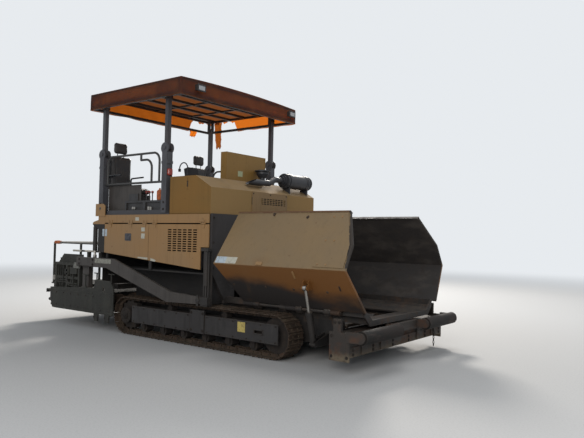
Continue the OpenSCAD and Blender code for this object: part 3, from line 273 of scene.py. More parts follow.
def stand(name, shape, material, body, smooth=False):
    """Makes a shape, which is points and groups of faces, an object that rides on a body."""
    points, groups = shape
    mesh = bpy.data.meshes.new(name)
    mesh.from_pydata(points.tolist(), [], [face for group in groups for face in group.tolist()])
    mesh.materials.append(material)
    if smooth:
        mesh.shade_smooth()
    piece = bpy.data.objects.new(name, mesh)
    bpy.context.scene.collection.objects.link(piece)
    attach(piece, body)
    return piece


def skin(rings):
    """Quads between rings [ring, point, xyz], and a face over the first ring and over the last one.

    Seen from the last ring, the points of a ring run counter-clockwise."""
    count, around = rings.shape[:2]
    here = np.arange(around)
    beside = np.roll(here, -1)
    start = np.arange(count - 1)[:, None] * around
    quads = np.stack([start + here, start + beside, start + beside + around, start + here + around], axis=2)
    caps = np.stack([here[::-1], here + (count - 1) * around])
    return rings.reshape(-1, 3), [quads.reshape(-1, 4), caps]


def joined(*shapes):
    """Several shapes as one: their points stacked, their faces counted on."""
    firsts = np.cumsum([0] + [len(points) for points, groups in shapes[:-1]])
    groups = [group + first for (points, faces), first in zip(shapes, firsts) for group in faces]
    return np.concatenate([points for points, faces in shapes]), groups


def copies(shape, frames):
    """The shape set down in every frame [frame, 3, 4]: new point = turn times point, plus place."""
    points, groups = shape
    laid = np.einsum("kij,nj->kni", frames[:, :, :3], points) + frames[:, None, :, 3]
    first = np.arange(len(frames))[:, None, None] * len(points)
    return laid.reshape(-1, 3), [(group + first).reshape(-1, group.shape[1]) for group in groups]


def frames_at(places, ahead=(1, 0, 0), up=(0, 0, 1)):
    """Frames at places, with X along ahead, Z along up, and Y = Z cross X."""
    places = np.atleast_2d(np.asarray(places, float))
    x = np.asarray(ahead, float) * np.ones_like(places)
    y = np.cross(np.asarray(up, float) * np.ones_like(places), x)
    x, y = (v / np.linalg.norm(v, axis=1, keepdims=True) for v in (x, y))
    return np.stack([x, y, np.cross(x, y), places], axis=2)


def mirrored(shape):
    """The same shape on the other side: Y changes sign, and every face runs the other way round."""
    points, groups = shape
    return points * (1.0, -1.0, 1.0), [group[:, ::-1] for group in groups]


def both_sides(shape):
    """A shape and its mirror image."""
    return joined(shape, mirrored(shape))


def bar(outline, y0, y1):
    """Outline of X, Z points, counter-clockwise as seen from the right side, carried from y0 to y1."""
    outline = np.asarray(outline, float)
    flat = np.insert(outline, 1, 0.0, axis=1)
    return skin(np.stack([flat + (0, max(y0, y1), 0), flat + (0, min(y0, y1), 0)]))


def rounded(width, height, corner, steps=4):
    """Rectangle round the origin whose corners are quarter circles, counter-clockwise."""
    quarter = np.arange(4)[:, None] * np.pi / 2 + np.linspace(0, np.pi / 2, steps)
    centres = np.array([(1, 1), (-1, 1), (-1, -1), (1, -1)])[:, None] * (width / 2 - corner,
        height / 2 - corner)
    return (centres + corner * np.stack([np.cos(quarter), np.sin(quarter)], axis=2)).reshape(-1, 2)


def turned(profile, count=12):
    """Profile of radius, height points, going up, turned round Z."""
    profile = np.asarray(profile, float)
    angle = np.arange(count) * 2 * np.pi / count
    circle = np.stack([np.cos(angle), np.sin(angle), 0 * angle], axis=1)
    return skin(profile[:, None, :1] * circle + profile[:, None, 1:] * (0, 0, 1))


def bolt(radius, tall):
    """Hexagon head, chamfered, on its round washer."""
    head = turned([(radius, 0), (radius, 0.75 * tall), (0.8 * radius, tall)], 6)
    return joined(head, turned([(1.45 * radius, 0), (1.45 * radius, 0.22 * tall)], 10))


def tube(path, radius, side=(0, 1, 0), count=10):
    """Round pipe along a path: circles square to it, turned from the side vector."""
    path = np.asarray(path, float)
    along = np.gradient(path, axis=0)
    along /= np.linalg.norm(along, axis=1, keepdims=True)
    u = np.cross(np.asarray(side, float) * np.ones_like(path), along)
    u /= np.linalg.norm(u, axis=1, keepdims=True)
    v = np.cross(along, u)
    angle = np.arange(count)[:, None] * 2 * np.pi / count
    radius = np.broadcast_to(np.asarray(radius, float), len(path))[:, None, None]
    return skin(path[:, None] + radius * (np.cos(angle) * u[:, None] + np.sin(angle) * v[:, None]))


def round_loop(station):
    """Place and directions at a distance along the chain's loop: two straight runs, two half circles."""
    run, bend = RUN_X1 - RUN_X0, np.pi * LINK_R
    angle = (np.clip(station - run, 0, bend) + np.clip(station - 2 * run - bend, 0,
        bend)) / LINK_R - np.pi / 2
    centre = RUN_X0 + np.clip(station, 0, run) - np.clip(station - run - bend, 0, run)
    out = np.stack([np.cos(angle), 0 * angle, np.sin(angle)], axis=1)
    ahead = np.stack([-np.sin(angle), 0 * angle, np.cos(angle)], axis=1)
    places = np.stack([centre, 0 * angle, np.full_like(angle, AXLE_Z)], axis=1) + LINK_R * out
    return frames_at(places, ahead, out)


def rusty_finish(name, bright, base=RUST, dusty=0.6):
    """Brown rust with darker scale, dried mud in corners and scuffed edges."""
    coat = Finish(name, base, rough=0.85, gloss=0.3)
    coat.cloud(tuple(c * 0.45 for c in base), 9.0, 0.42, 0.62, 0.8)
    coat.cloud((2.5 * base[0], 1.8 * base[1], 1.3 * base[2]), 31.0, 0.54, 0.74, 0.9, 0.55)
    coat.layer(MUD, coat.corners(0.05), 0.95, dusty)
    coat.cloud(bright, 40.0, 0.35, 0.6, 0.5, 0.6, within=coat.edges(0.004))
    coat.cloud(MUD, 14.0, 0.4, 0.7, 0.95, dusty, within=coat.facing_up())
    coat.bump(coat.noise(160.0), 0.0012).bump(coat.noise(24.0), 0.0015)
    return coat.done("rusty_steel")


shoe_outline = [(-0.0705, 0), (0.0705, 0), (0.0705, 0.006), (0.064, 0.017), (0.055, 0.017), (0.05, 0.009),
    (0.006, 0.009), (0.004, 0.025), (-0.004, 0.025), (-0.006, 0.009), (-0.05, 0.009), (-0.055, 0.017),
    (-0.064, 0.017), (-0.0705, 0.006)]
shoe_bolts = copies(bolt(0.011, 0.008), frames_at([(x, y, 0.009) for x in (-0.028, 0.028) for y in (-0.058,
    0.058)]))
inner_link = bar(rounded(0.115, 0.04, 0.019) + (-0.0275, -0.02), 0.044, 0.058)
outer_link = bar(rounded(0.115, 0.04, 0.019) + (0.0275, -0.02), 0.058, 0.072)
pin = tube([(0.0708, -0.078, -0.02), (0.0708, 0.078, -0.02)], 0.016, side=(1, 0, 0), count=8)
loop = 2 * (RUN_X1 - RUN_X0) + 2 * np.pi * LINK_R
shoe = joined(bar(shoe_outline, -0.15, 0.15), shoe_bolts, both_sides(inner_link), both_sides(outer_link), pin)
chain = copies(shoe, round_loop((np.arange(SHOES) + 0.49) * loop / SHOES))
track_rust = rusty_finish("rusty_shoes", (0.13, 0.11, 0.088), dusty=0.75)
oily_steel = rusty_finish("oily_bolts", (0.06, 0.052, 0.044), (0.018, 0.014, 0.012), 0.3)
for side, name in SIDES:
    belt = stand("track_shoes_" + name, (chain[0] + (0, side * TRACK_Y, 0), chain[1]), track_rust, "chassis")
    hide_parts("track_" + name)
wear("auger_right", "auger_left", material=track_rust)

# Undercarriage
# Welded track frames behind bolted cover plates with a low slot, and the final drive's hub with its ring
# of bolts. The paint is dark, streaked pale by water and rubbed through at the covers' edges.
COVER_Y = 1.24


def slate_finish(name, base, dusty=0.5, tarred=0.4, scuffed=0.5, dark_within=0.0):
    """Dark grey-blue paint: tar runs from above, dust on ledges and in corners, bare edges.

    Nearer to the middle plane than the given distance, all is dark, with patches of mud."""
    coat = Finish(name, base, rough=0.55, gloss=0.4)
    pale = tuple(min(1.0, c * 1.6 + 0.008) for c in base)
    coat.cloud(pale, 2.6, 0.45, 0.75, 0.6, 0.45)
    coat.cloud(pale, 6.0, 0.52, 0.7, 0.65, scuffed, stretch=(4, 4, 0.35))
    coat.cloud((0.01, 0.009, 0.008), 3.4, 0.5, 0.66, 0.75, tarred, stretch=(3, 3, 0.8))
    coat.layer((0.07, 0.052, 0.035), coat.corners(0.09), 0.9, dusty)
    coat.cloud((0.09, 0.08, 0.066), 7.0, 0.3, 0.6, 0.9, dusty, within=coat.facing_up())
    coat.cloud((0.085, 0.045, 0.026), 26.0, 0.45, 0.6, 0.8, scuffed, within=coat.edges(0.005))
    if dark_within > 0.0:
        behind = coat.between(coat.off_middle(), dark_within + 0.002, dark_within - 0.002)
        coat.layer((0.016, 0.012, 0.01), behind, 0.85)
        coat.cloud((0.045, 0.032, 0.022), 9.0, 0.5, 0.7, 0.95, 0.6, within=behind)
    coat.bump(coat.noise(90.0, detail=3.0), 0.0005)
    return coat.done("grey_paint")


def card(name, colour):
    """Printed sticker gone blank: its own colour, scuffed and dirty in clouds."""
    coat = Finish(name, colour, rough=0.5, gloss=0.4)
    coat.cloud(tuple(c * 0.45 for c in colour), 38.0, 0.5, 0.72, 0.7, 0.7)
    coat.cloud((0.05, 0.04, 0.03), 9.0, 0.55, 0.75, 0.8, 0.6)
    coat.bump(coat.noise(300.0, detail=2.0), 0.0001)
    return coat.done("ochre")


def patch(width, height, thick, corner=0.004, edge=0.001):
    """Plate with eased edges that lies on z = 0: a rounded rectangle, drawn in by edge at its top."""
    low, high = rounded(width, height, corner), rounded(width - 2 * edge, height - 2 * edge, corner)
    levels = [(low, 0.0), (low, thick - edge), (high, thick)]
    return skin(np.stack([np.column_stack([outline, np.full(len(outline), z)]) for outline, z in levels]))


def to_side(shape, places, side=-1):
    """Copies of a shape, each with its foot on a face that looks right, or left where side is 1."""
    return copies(shape, frames_at(places, (-side, 0, 0), (0, side, 0)))


def on_side(x0, x1, z0, z1, y, thick=0.002, side=-1, corner=0.005):
    """Plate on a face that looks out to one side, between x0, x1 and z0, z1, standing out from y."""
    place = [((x0 + x1) / 2, side * y, (z0 + z1) / 2)]
    return to_side(patch(x1 - x0, z1 - z0, thick, corner), place, side)


def side_bolts(places, y, radius=0.011, tall=0.008):
    """Bolts at X, Z places on both sides, on faces at the distance y from the middle."""
    spots = np.insert(np.asarray(places, float), 1, -y, axis=1)
    return both_sides(to_side(bolt(radius, tall), spots))


cover_paint = slate_finish("side_cover_paint", (0.019, 0.017, 0.017), dusty=0.5, tarred=0.5, scuffed=0.6,
    dark_within=1.219)
dark_slate = slate_finish("slate_arms", (0.036, 0.031, 0.028), dusty=0.35, tarred=0.3)
wear("undercarriage_right", "undercarriage_left", material=cover_paint)
cover_x = np.concatenate([np.linspace(-0.78, 0.41, 6), np.linspace(0.79, 1.99, 6)])
cover_spots = [(x, z) for x in cover_x for z in (0.222, 0.428)]
ring = np.linspace(0, 2 * np.pi, 10, endpoint=False)
hub_spots = np.stack([-1.01 + 0.092 * np.cos(ring), 0.29 + 0.092 * np.sin(ring)], axis=1)
hub_cap = to_side(turned([(0.06, 0), (0.06, 0.012), (0.042, 0.02), (0.03, 0.02), (0.026, 0.026)], 20),
    [(-1.01, -1.212, 0.29)])
stand("cover_bolts", joined(side_bolts(cover_spots, COVER_Y), side_bolts(hub_spots, 1.212),
    side_bolts([(0.49, 0.235), (0.71, 0.235), (0.49, 0.47), (0.71, 0.47)], 1.248, 0.015, 0.011),
    both_sides(hub_cap)), oily_steel, "chassis")
seams = joined(*[on_side(x0, x1, z, z + 0.014, COVER_Y, 0.005) for x0, x1 in ((-0.81, 0.44), (0.76, 2.02))
    for z in (0.202, 0.434)])
slot_rim = joined(*[on_side(x0, x1, z0, z1, COVER_Y, 0.006) for x0, x1, z0, z1 in ((1.625, 1.795, 0.35,
    0.362), (1.625, 1.795, 0.298, 0.31), (1.625, 1.638, 0.298, 0.362), (1.782, 1.795, 0.298, 0.362))])
stand("cover_ledges", both_sides(joined(seams, slot_rim)), cover_paint, "chassis")
yellow_card = card("yellow_card", (0.42, 0.33, 0.1))
stand("cover_plate_blank", on_side(1.355, 1.487, 0.3, 0.43, COVER_Y), yellow_card, "chassis")

# Tarred steel
# Everything that touches hot mix is black with bitumen, with brown road dirt and grains stuck in it.
def tarred_finish(name, base=(0.015, 0.013, 0.012), dirt=0.6, top=0.5):
    """Black bitumen film: glossy where fresh, with dry brown dust and a grain of stuck stones."""
    coat = Finish(name, base, rough=0.6, gloss=0.4)
    coat.cloud((0.032, 0.026, 0.022), 3.0, 0.42, 0.7, 0.75, dirt)
    coat.cloud((0.055, 0.038, 0.026), 8.0, 0.55, 0.75, 0.9, dirt, stretch=(2.5, 2.5, 0.6))
    coat.cloud((0.08, 0.062, 0.047), 11.0, 0.35, 0.7, 0.95, top, within=coat.facing_up())
    coat.cloud((0.07, 0.056, 0.044), 17.0, 0.45, 0.6, 0.6, 0.6, within=coat.edges(0.006))
    coat.bump(coat.between(coat.noise(120.0, detail=2.0), 0.52, 0.7), 0.0012).bump(coat.noise(18.0), 0.003)
    return coat


tarred = tarred_finish("tarred_steel").done("dark_steel")
wear("tow_columns", "tow_carriage_right", "tow_carriage_left", "wing_barrel_right", "wing_barrel_left",
    "lift_barrel_right", "lift_barrel_left", material=tarred)
wear("main_frame", material=tarred_finish("tarred_frame", (0.008, 0.007, 0.007), dirt=0.35, top=0.2).done())
wear("auger_frame", material=tarred_finish("tarred_carrier", (0.01, 0.009, 0.008), dirt=0.45, top=0.1).done())
coat = tarred_finish("tarred_bed", dirt=0.9)
coat.cloud((0.062, 0.034, 0.02), 5.0, 0.5, 0.7, 0.85, 0.6)
wear("hopper_bed", material=coat.done())
wear("conveyors", material=rusty_finish("worn_slats", (0.22, 0.19, 0.16)))

# Push beam
# Heavy box beam with checker plates on its top, end cheeks and bolted keepers, and two free rollers of
# thick tube. A short lifting chain hangs from its far end. Scraped rusty, with tar and pale road dust.
coat = tarred_finish("scraped_beam", (0.022, 0.017, 0.014), dirt=0.8, top=0.3)
coat.cloud((0.135, 0.108, 0.074), 9.0, 0.32, 0.54, 0.95, 0.9, within=coat.between(coat.axis("Z"), 0.27, 0.17))
coat.cloud((0.06, 0.03, 0.018), 6.0, 0.5, 0.68, 0.85, stretch=(1, 0.4, 1))
beam_paint = coat.done("dark_steel")
wear("push_beam", material=beam_paint)
coat = Finish("worn_rollers", (0.017, 0.012, 0.01), rough=0.75, gloss=0.25)
coat.cloud((0.009, 0.008, 0.007), 3.5, 0.45, 0.62, 0.75, stretch=(1, 0.7, 1))
coat.cloud((0.045, 0.03, 0.024), 22.0, 0.52, 0.75, 0.65, 0.6, stretch=(1, 0.15, 1))
coat.layer((0.07, 0.06, 0.05), coat.edges(0.006), 0.5, 0.6)
coat.bump(coat.noise(60.0), 0.0012).bump(coat.noise(9.0), 0.002)
wear("push_roller_right", "push_roller_left", material=coat.done())


def to_front(shape, places):
    """Copies of a shape, each with its foot on a face that looks to the front."""
    return copies(shape, frames_at(places, (0, 1, 0), (1, 0, 0)))


def slab(low, high, edge=0.003):
    """Block between two corners with all its edges eased by edge."""
    low, high = np.array(low, float), np.array(high, float)
    points, groups = patch(high[0] - low[0], high[1] - low[1], high[2] - low[2], 1.5 * edge, edge)
    return points + ((low + high) / 2 * (1, 1, 0) + low * (0, 0, 1)), groups


def hoop(rings):
    """Quads over rings [ring, point, xyz] that close on themselves both ways, as on a torus."""
    index = np.arange(rings.shape[0] * rings.shape[1]).reshape(rings.shape[:2])
    after, side = np.roll(index, -1, axis=0), np.roll(index, -1, axis=1)
    return (rings.reshape(-1, 3), [np.stack([index, side, np.roll(side, -1, axis=0), after],
        axis=2).reshape(-1, 4)])


tread = copies(patch(0.095, 0.66, 0.006), frames_at([(3.005, y, 0.44) for y in (-0.72, 0.72)]))
keeper = to_front(patch(0.11, 0.13, 0.01, 0.012), [(3.085, y, 0.262) for y in (-0.95, -0.5, 0.5, 0.95)])
face_bolts = to_front(bolt(0.015, 0.011), [(3.081, y, z) for y in (-1.18, -0.72, -0.22, 0.22, 0.72, 1.18)
    for z in (0.22, 0.27)])
top_bolts = copies(bolt(0.012, 0.008), frames_at([(2.99, y, 0.446) for y in (-1.02, -0.42, 0.42, 1.02)]))
cheek_bolts = side_bolts([(2.84, 0.19), (3.05, 0.19), (2.84, 0.42), (3.05, 0.42), (2.885, 0.58),
    (2.945, 0.58)], 1.268, 0.014, 0.01)
chain_lug = slab((3.079, 0.94, 0.275), (3.118, 0.96, 0.325))
stand("push_beam_plates", joined(tread, keeper, chain_lug), beam_paint, "push_beam")
stand("push_beam_bolts", joined(face_bolts, top_bolts, cheek_bolts), oily_steel, "push_beam")
link_turn = np.linspace(0, 2 * np.pi, 14, endpoint=False)
link_wire = np.arange(6)[:, None] * np.pi / 3
link_out = np.stack([np.cos(link_turn), 0 * link_turn, np.sin(link_turn)], axis=1)
link_section = np.cos(link_wire) * link_out[:, None] + np.sin(link_wire) * np.array((0, 1, 0))
link = hoop(link_out[:, None] * (0.011, 0, 0.021) + 0.0045 * link_section)
hang = np.arange(7)
turned_link = np.stack([hang % 2, 1 - hang % 2, 0 * hang], axis=1)
hung_at = (3.108, 0.95, 0.272) - hang[:, None] * np.array((0, 0, 0.034))
stand("lifting_chain", copies(link, frames_at(hung_at, turned_link)), oily_steel, "push_beam", smooth=True)

# Ochre panels
# Pressed and folded sheet in ochre enamel, faded by the sun, with rain streaks below every edge.
OCHRE = (0.248, 0.138, 0.051)


def ochre_finish(name, base, faded, streaks=0.35, rusty=0.4, dusty=0.35, rough=0.48, gloss=0.4):
    """Ochre paint: cloudy fading, fine rain streaks, rust at edges, dust on top faces."""
    coat = Finish(name, base, rough=rough, gloss=gloss)
    coat.cloud(faded, 1.4, 0.35, 0.7, rough + 0.07, 0.8, detail=3.0)
    coat.cloud(tuple(c * 0.55 for c in base), 4.5, 0.5, 0.75, 0.6, streaks, stretch=(5, 5, 0.3))
    # Dirt in inner corners, and painted shade there and under overhangs: the occlusion mask darkens the
    # ochre.
    coat.layer((0.07, 0.05, 0.032), coat.corners(0.07), 0.8, 0.5)
    coat.cloud((0.15, 0.118, 0.082), 5.0, 0.25, 0.6, 0.85, dusty, within=coat.facing_up())
    coat.cloud((0.11, 0.042, 0.018), 21.0, 0.47, 0.58, 0.85, rusty, within=coat.edges(0.005))
    coat.cloud((0.09, 0.04, 0.022), 13.0, 0.71, 0.76, 0.85, rusty, detail=2.0)
    coat.bump(coat.noise(2.2, detail=1.0), 0.004).bump(coat.noise(240.0, detail=2.0), 0.0002)
    return coat


# Hopper wings
# Two plates of ochre sheet welded at the knee, with a doubler at the front and a rolled, rusty upper rim.
# The upper plate is bleached. The lower one keeps a deeper orange, painted darker as shade, and painted shade
# turns it black towards the hinge; inside, both are black with bitumen.
KNEE_Y, KNEE_Z, TOP_Y, TOP_Z = 1.354, 1.175, 0.93, 1.87
HINGE_Y, HINGE_Z = 0.97, 0.64
coat = ochre_finish("wing_ochre", (0.16, 0.11, 0.056), (0.184, 0.121, 0.055), 0.25, 0.5)
# The lower plate: deeper orange, painted darker as shade, and painted shade that turns it black from the
# hinge up, less so towards its front end
height = coat.axis("Z")
under = coat.between(height, KNEE_Z + 0.012, KNEE_Z - 0.012)
coat.layer((0.148, 0.06, 0.013), under, 0.6)
kept = coat.free("MULTIPLY", coat.between(coat.axis("X"), 1.75, 2.6), 0.42)
shade_rise = coat.free("ADD", coat.between(height, 1.18, 0.72), coat.free("MULTIPLY", coat.noise(2.4, (1, 2, 1.6)),
    0.55))
painted_shade_low = coat.between(coat.free("SUBTRACT", shade_rise, kept), 0.42, 0.92)
coat.layer((0.014, 0.011, 0.01), coat.times(under, painted_shade_low), 0.75)
rust_patch = coat.times(coat.between(coat.noise(2.0, detail=3.0), 0.55, 0.72),
    coat.between(height, 1.32, 1.2))
coat.layer((0.15, 0.072, 0.024), rust_patch, 0.7, 0.35)
# The rolled rim, and the front edge, which leans back as it rises, and more so over BEND_Z
BEND_Z = 1.474
rim_rust = coat.between(coat.free("ADD", height, coat.free("MULTIPLY", coat.noise(9.0), 0.03)), 1.872, 1.884)
coat.layer((0.085, 0.036, 0.016), rim_rust, 0.85, 0.9)
lean = coat.free("MULTIPLY", coat.math("SUBTRACT", height, BEND_Z), 0.379)
lean = coat.free("SUBTRACT", lean, coat.free("MULTIPLY", coat.math("SUBTRACT", BEND_Z, height), 0.147))
front_line = coat.free("ADD", coat.axis("X"), lean)
chipped = coat.between(coat.free("ADD", front_line, coat.free("MULTIPLY", coat.noise(16.0, detail=3.0),
    0.05)), 3.026, 3.034)
coat.layer((0.03, 0.024, 0.02), coat.times(chipped, coat.between(height, 1.19, 1.21)), 0.8)
# The inner faces, told by a normal that looks to the middle
outward = coat.free("MULTIPLY", coat.free("SIGN", coat.axis("Y")), coat.facing("Y"))
inside = coat.between(outward, -0.15, -0.4)
coat.layer((0.021, 0.018, 0.017), inside, 0.65)
coat.cloud((0.046, 0.039, 0.034), 2.2, 0.45, 0.7, 0.75, stretch=(1, 1, 2.5), within=inside)
coat.cloud((0.026, 0.02, 0.016), 7.0, 0.45, 0.7, 0.85, 0.6, within=inside)
wear("wing_right", "wing_left", material=coat.done())
UP_SLOPE = np.array((0.0, TOP_Y - KNEE_Y, TOP_Z - KNEE_Z))
UP_SLOPE /= np.linalg.norm(UP_SLOPE)
LOW_SLOPE = np.array((0.0, KNEE_Y - HINGE_Y, KNEE_Z - HINGE_Z))
LOW_SLOPE /= np.linalg.norm(LOW_SLOPE)


def on_wing(x, z, proud=0.0, lower=False):
    """Frames on the right wing's outer face at X, Z: X forward, Y up the slope, Z out of the plate."""
    start, slope = ((HINGE_Y, HINGE_Z), LOW_SLOPE) if lower else ((KNEE_Y, KNEE_Z), UP_SLOPE)
    x, z = np.atleast_1d(x).astype(float), np.atleast_1d(z).astype(float)
    y = -(start[0] + (z - start[1]) * slope[1] / slope[2])
    out = np.array((0.0, -slope[2], -slope[1]))
    return frames_at(np.stack([x, y, z], axis=1) + proud * out, (1, 0, 0), out)


def bent(corners, radius, steps=6):
    """Path through corners, each one rounded by a parabola: (1-t)^2 a + 2t(1-t) c + t^2 b."""
    corners = np.asarray(corners, float)
    along = np.diff(corners, axis=0)
    along /= np.linalg.norm(along, axis=1, keepdims=True)
    t = np.linspace(0, 1, steps)[:, None]
    turns = [(1 - t) ** 2 * (c - radius * a) + 2 * t * (1 - t) * c + t ** 2 * (c + radius * b)
        for c, a, b in zip(corners[1:-1], along[:-1], along[1:])]
    return np.concatenate([corners[:1], *turns, corners[-1:]])


def for_side(shape, side):
    """A shape drawn for the right side, or its mirror image if the side is the left one."""
    return mirrored(shape) if side > 0 else shape


def clouded(name, colour, slot, *clouds, grain=(), **look):
    """Finish made of clouds alone: each is arguments of cloud, and grain is rows of noise scale and depth."""
    coat = Finish(name, colour, **look)
    for cloud in clouds:
        coat.cloud(*cloud)
    for scale, depth in grain:
        coat.bump(coat.noise(scale), depth)
    return coat.done(slot)


pale_card = card("pale_card", (0.4, 0.39, 0.33))
blue_card = card("faded_card", (0.36, 0.42, 0.47))
ochre_trim = ochre_finish("trim_ochre", OCHRE, (0.2, 0.13, 0.065)).done("ochre")
SEAM_COS, SEAM_SIN = 0.965, 0.262
seam_strip = patch(0.012, 0.77, 0.004)
seam_strip = (seam_strip[0] @ np.array([(SEAM_COS, SEAM_SIN, 0), (-SEAM_SIN, SEAM_COS, 0), (0, 0, 1)]),
    seam_strip[1])
wing_trim = joined(copies(seam_strip, on_wing(2.695, 1.52)), copies(bolt(0.01, 0.006),
    on_wing(np.tile([2.66, 2.78], 3), np.repeat([1.23, 1.51, 1.8], 2), 0.008)),
    copies(patch(0.1, 0.05, 0.014, 0.012, 0.005), on_wing(1.78, 1.203)),
    copies(patch(0.022, 0.11, 0.014, 0.008, 0.004), on_wing(2.3, 1.09, lower=True)))
wing_rust = joined(copies(patch(0.03, 0.045, 0.018, 0.01, 0.004), on_wing(1.707, 1.835)),
    copies(bolt(0.016, 0.012), on_wing(2.26, 1.8)), copies(patch(0.022, 0.075, 0.004, 0.008),
    on_wing(2.9, 0.958, lower=True)), copies(bolt(0.012, 0.009), on_wing([1.2, 1.75, 2.2, 2.7], [0.9] * 4,
    lower=True)))
for side, name in SIDES:
    stand("wing_trim_" + name, for_side(wing_trim, side), ochre_trim, "wing_" + name)
    stand("wing_marks_" + name, for_side(wing_rust, side), track_rust, "wing_" + name)
stand("wing_strip_rear", copies(patch(0.185, 0.095, 0.002), on_wing(1.1075, 1.228)), blue_card, "wing_right")
stand("wing_strip_front", copies(patch(0.185, 0.095, 0.002), on_wing(1.2925, 1.228)), pale_card, "wing_right")
chrome = clouded("hard_chrome", (0.4, 0.38, 0.35), "chrome", ((0.25, 0.2, 0.15), 30.0, 0.55, 0.75, 0.5, 0.7),
    rough=0.34, metal=1.0)
wear("wing_rod_right", "wing_rod_left", "lift_rod_right", "lift_rod_left", material=chrome)
# Ports and feed pipe of the wing cylinders, square to their barrels
barrel_foot, barrel_eye = np.array((2.46, -1.08, 0.25)), np.array((2.46, -1.27, 0.94))
barrel_up = (barrel_eye - barrel_foot) / np.linalg.norm(barrel_eye - barrel_foot)
barrel_out = np.cross(barrel_up, (1, 0, 0))
ports = joined(*[copies(turned([(0.016, 0.034), (0.016, 0.052), (0.011, 0.052), (0.011, 0.066)], 10),
    frames_at([barrel_foot + reach * barrel_up], (1, 0, 0), barrel_out)) for reach in (0.085, 0.345)])
feed_pipe = tube(bent([barrel_foot + up * barrel_up + out * barrel_out for up, out in ((0.085, 0.06),
    (0.085, 0.078), (0.3, 0.078), (0.345, 0.06))], 0.014), 0.006, (1, 0, 0), 8)
for side, name in SIDES:
    stand("wing_cylinder_pipe_" + name, for_side(joined(ports, feed_pipe), side), tarred,
        "wing_barrel_" + name, smooth=True)

# Body and side doors
# Folded ochre sheet over a dark frame. The rear doors have a paddle handle in a dark dish, the front ones a
# hasp over their upper edge, and the right side blank pale stickers. Inside and under the doors all is
# painted shade, near black.
BODY_Y = 1.25
coat = ochre_finish("body_ochre", OCHRE, (0.229, 0.14, 0.064))
# Painted shade: the doors' faces inside the body are near black.
door_inside_shade = coat.between(coat.off_middle(), 1.238, 1.232)
coat.layer((0.012, 0.01, 0.01), door_inside_shade, 0.75)
coat.cloud((0.022, 0.019, 0.016), 4.0, 0.45, 0.65, 0.8, within=door_inside_shade)
wear("door_rear_right", "door_front_right", "door_rear_left", "door_front_left", material=coat.done())
coat = ochre_finish("shell_ochre", OCHRE, (0.229, 0.14, 0.064))
# Painted shade: the shell under the doors and inside the body is near black.
below = coat.math("MAXIMUM", coat.between(coat.axis("Z"), 1.695, 1.69),
    coat.between(coat.off_middle(), 1.238, 1.232))
coat.layer((0.01, 0.009, 0.009), below, 0.7)
coat.cloud((0.018, 0.016, 0.014), 4.0, 0.45, 0.65, 0.8, stretch=(2, 2, 0.5), within=below)
wear("body_shell", material=coat.done())
coat = Finish("bulkhead_paint", (0.023, 0.02, 0.02), rough=0.6, gloss=0.4)
coat.cloud((0.036, 0.032, 0.033), 3.0, 0.45, 0.7, 0.6, 0.7, stretch=(2, 2, 0.6))
coat.cloud((0.012, 0.011, 0.01), 5.0, 0.35, 0.6, 0.7, 0.8, within=coat.between(coat.axis("Z"), 1.35, 0.8))
coat.layer((0.06, 0.046, 0.034), coat.corners(0.08), 0.9, 0.5)
coat.bump(coat.noise(40.0), 0.0008)
wear("bulkhead", material=coat.done())
dish = clouded("dark_dish", (0.03, 0.031, 0.038), "black_paint", ((0.062, 0.064, 0.075), 24.0, 0.5, 0.7, 0.6),
    rough=0.5)


def paddle(side):
    """Handle: dark dish plate with a folded paddle and a round lock above it."""
    plate = patch(0.15, 0.115, 0.006, 0.016, 0.003)
    rim = joined(*[(p + shift, g) for shift, (p, g) in (((0, -0.012, 0.006),
        patch(0.1, 0.052, 0.008, 0.01, 0.003)), ((0, -0.03, 0.014), patch(0.084, 0.014, 0.006, 0.005,
        0.002)))])
    lock = turned([(0.013, 0.006), (0.013, 0.012), (0.009, 0.013)], 14)
    lock = (lock[0] + (0, 0.036, 0), lock[1])
    return to_side(joined(plate, rim, lock), [(-0.956, side * BODY_Y, 1.495)], side)


def hasp(side):
    """Staple and folded strap over the front door's upper edge."""
    pieces = joined(patch(0.034, 0.078, 0.006, 0.01, 0.002), patch(0.085, 0.03, 0.01, 0.006, 0.003))
    return to_side(pieces, [(0.667, side * BODY_Y, 1.742)], side)


def to_rear(shape, places):
    """Copies of a shape, each with its foot on a face that looks to the rear."""
    return copies(shape, frames_at(places, (0, -1, 0), (-1, 0, 0)))


for side, name in SIDES:
    stand("door_handle_rear_" + name, paddle(side), dish, "door_rear_" + name)
    stand("door_hasp_" + name, hasp(side), ochre_trim, "chassis")
stand("door_cards_rear", joined(on_side(-1.612, -1.56, 1.5, 1.615, BODY_Y + 0.0003),
    on_side(-1.545, -1.493, 1.5, 1.615, BODY_Y)), blue_card, "door_rear_right")
stand("door_cards_seam", joined(on_side(-0.643, -0.56, 1.585, 1.645, BODY_Y),
    on_side(-0.643, -0.56, 1.478, 1.554, BODY_Y)), pale_card, "door_rear_right")
stand("shell_card", on_side(-0.787, -0.704, 1.748, 1.8, BODY_Y), pale_card, "chassis")
low_line = np.array([(-0.41, 1.151), (-0.31, 1.141), (-0.29, 1.16), (-0.33, 1.178), (-0.41, 1.19)])
stand("door_strip_front", bar(low_line, -BODY_Y, -BODY_Y - 0.0015), pale_card, "door_front_right")
rear_line = np.array([(-0.72, 1.183), (-0.48, 1.165), (-0.48, 1.195), (-0.7, 1.2)])
stand("door_strip_rear", bar(rear_line, -BODY_Y, -BODY_Y - 0.0015), pale_card, "door_rear_right")
stand("bulkhead_bolts", both_sides(to_front(bolt(0.013, 0.009), [(0.8405, y, z) for y in (-1.2, -0.6)
    for z in (1.1, 1.45, 1.79)])), oily_steel, "chassis")
stand("upright_slots", both_sides(on_side(-1.7, -1.66, 1.93, 1.965, 1.26, 0.003)), dish, "chassis")
